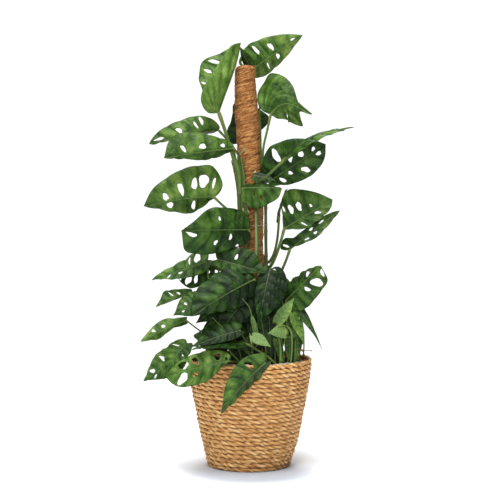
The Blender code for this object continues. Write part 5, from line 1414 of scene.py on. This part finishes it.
def stalk_path(leaf, gap):
    """Stalk from the side of its vine to the blade's base: a curve through the points it is given, or
    one with two handles."""
    name, height, way = leaf["stem"]
    centre, radius, along = vine_at(name, height)
    way = np.array([*way, 0.0])
    out = unit(way - along * (way @ along))
    start, base = centre + out * (radius + gap), np.array(leaf["base"], float)
    if "via" in leaf:
        return through([start, start + out * 5, *leaf["via"], base], 8)
    reach = np.linalg.norm(base - start)
    first = start + 0.14 * reach * (out + unit(base - start))
    last = base - 0.35 * reach * unit(base - start - out * 0.2 * reach)
    return bezier(np.linspace(0, 1, STALK_STEPS)[:, None], start, first, last, base)


def stalk(leaf, gap):
    """Stalk and the ridge under the midrib as one bar: thick at the foot, swollen below the blade, then
    thinning to a point as it follows the midrib, half sunk in the blade's lower face."""
    path = stalk_path(leaf, gap)
    u = np.linspace(0.02, RIDGE_END, STALK_STEPS)
    rib, ways, up = midrib(leaf, u)
    above = np.cross(ways, unit(np.cross(up, ways)))
    size = min(max(max(leaf["width"]) / STALK_WIDTH, 0.6), 1.0)
    ridge = (1.3 * (1 - u / RIDGE_END) + 0.32) * size
    rib = rib - above * (BLADE / 2 + 0.35 * ridge)[:, None]
    s = np.linspace(0, 1, len(path))
    thinned = STALK_TOP + (STALK_FOOT - STALK_TOP) * (1 - s) ** 2
    radius = size * leaf["stalk"] * (thinned + 0.5 * np.exp(-((s - SWOLLEN_AT) / 0.05) ** 2))
    share = np.repeat(np.concatenate([[0], s, 1 + u, [2]]), STALK_SIDES)
    return welded(tube(np.vstack([path, rib]), np.concatenate([radius, ridge]), STALK_SIDES, stalk=1,
                       foot=np.clip(1 - 6 * share, 0, 1),
                       swollen=np.exp(-((share - SWOLLEN_AT) / 0.06) ** 2)))


def grown(leaf, seed, gap=STEM_GAP):
    """Blade and stalk as one shape, with the leaf's own greens."""
    shape = joined([blade(leaf, seed), stalk(leaf, gap)])
    marks = shape["marks"]
    return marked(shape, pale=leaf["pale"], band=marks["band"] * leaf["band"], rib=marks["rib"] * leaf["rib"],
                  tone=leaf["tone"] + leaf["spread"] * marks["far"])


def runner(points, thin, thick, green):
    """Bare stem through points whose radius goes from thin to thick."""
    path = through(points, 8)
    return welded(tube(path, np.linspace(thin, thick, len(path)), 8, stalk=1, tone=green))


leaf_green, tree, shader = finish("leaf_green", 0.4, 0.19)
under, vein = mark(tree, "under"), mark(tree, "vein")
place = add(tree, "UVMap").outputs[0]
fine = noise(tree, place, 60.0, 3.0)
net = add(tree, "TexVoronoi", {"Vector": place, "Scale": 42.0}, feature="DISTANCE_TO_EDGE").outputs[0]
parts = add(tree, "SeparateXYZ", {0: place}).outputs
half_place = add(tree, "CombineXYZ", {0: parts[0], 1: maths(tree, "ABSOLUTE", parts[1])}).outputs[0]
along_veins = add(tree, "Mapping", {"Vector": half_place, "Rotation": (0, 0, -0.95)}).outputs[0]
streak = noise(tree, scaled(tree, along_veins, (5, 34, 1)), 1.0, 3.0)
green = mark(tree, "tone")
# Added to the tone: slow random patches, streaks along the side veins, painted shade bands that follow the
# blade's relief, and painted shade in the vein grooves.
for value, low, high, start, end in ((noise(tree, place, 1.7, 1.0), 0.3, 0.7, -0.12, 0.12),
                                     (noise(tree, place, 4.0), 0.3, 0.7, -0.16, 0.19),
                                     (streak, 0.3, 0.7, -0.09, 0.09),
                                     (mark(tree, "band"), -2.5, 2.5, -0.165, 0.165),
                                     (vein, 0.5, 7.0, -0.08, 0.06)):
    green = maths(tree, "ADD", green, span(tree, value, low, high, start, end))
upper = shade(tree, green, (0.0, (0.004, 0.016, 0.002)), (0.25, (0.019, 0.060, 0.004)),
              (0.5, (0.066, 0.138, 0.019)), (0.75, (0.158, 0.255, 0.048)), (1.0, (0.32, 0.45, 0.12)))
speckled = blend(tree, 0.5, upper, shade(tree, fine, (0.3, (0.78, 0.82, 0.75)), (0.7, (1, 1, 1))), "MULTIPLY")
# Painted shade: a dark line along each vein, where the blade sinks into its groove.
vein_groove_shade = blend(tree, 0.5, upper, (0.02, 0.05, 0.01))
pale_line = blend(tree, 0.4, upper, (0.32, 0.44, 0.14))
lined = blend(tree, span(tree, vein, 0.3, 1.5, 0.3, 0.0), speckled, vein_groove_shade)
ribbed = blend(tree, span(tree, mark(tree, "rib"), 0.35, 1.0, 0.45, 0.0), lined, pale_line)
# Painted shade: the blade darkens towards its rim.
rim_shaded = blend(tree, span(tree, mark(tree, "rim"), 0.3, 1.0, 0.0, 0.45), ribbed, (0.02, 0.05, 0.01))
faced = blend(tree, under, rim_shaded, blend(tree, 0.22, upper, (0.15, 0.27, 0.045)))
stalk_foot = blend(tree, mark(tree, "foot"), blend(tree, 0.5, upper, (0.16, 0.22, 0.06)), (0.12, 0.10, 0.04))
stalk_joint = blend(tree, mark(tree, "swollen"), stalk_foot, (0.17, 0.20, 0.06))
fresh = shade(tree, streak, (0.3, (0.17, 0.28, 0.085)), (0.7, (0.27, 0.39, 0.15)))
new_leaf = blend(tree, span(tree, mark(tree, "pale"), 0, 1, 0, 0.7), faced, fresh)
whole = blend(tree, mark(tree, "stalk"), new_leaf, stalk_joint)
dull = maths(tree, "ADD", span(tree, under, 0, 1, 0.38, 0.62), span(tree, fine, 0.3, 0.7, -0.05, 0.07))
tree.links.new(dull, shader.inputs["Roughness"])
small_relief = maths(tree, "ADD", span(tree, net, 0, 0.25), fine)
lumps = span(tree, noise(tree, place, 13.0, 1.0), 0.2, 0.8, 0.0, 5.0)
paint(shader, whole, maths(tree, "ADD", lumps, small_relief), 0.00035, 0.6)

for number, (name, one) in enumerate(LEAVES.items()):
    shape = grown(one, number, SUNK_IN_SHOOT if name in ON_SHOOT else STEM_GAP)
    put(name + "_blade", shape, leaf_green, "leaf_green", ON_SHOOT.get(name, name))
for number, (name, found) in enumerate(SHADED_LEAVES.items()):
    leaves = [leaf(name, *place, **{**SHADED, **more}) for *place, more in found]
    shapes = [grown(one, 9 * number + k) for k, one in enumerate(leaves)]
    shapes += [runner(*row) for row in RUNNERS.get(name, ())]
    put(name + "_shaded_leaves", joined(shapes), leaf_green, "leaf_green", name)
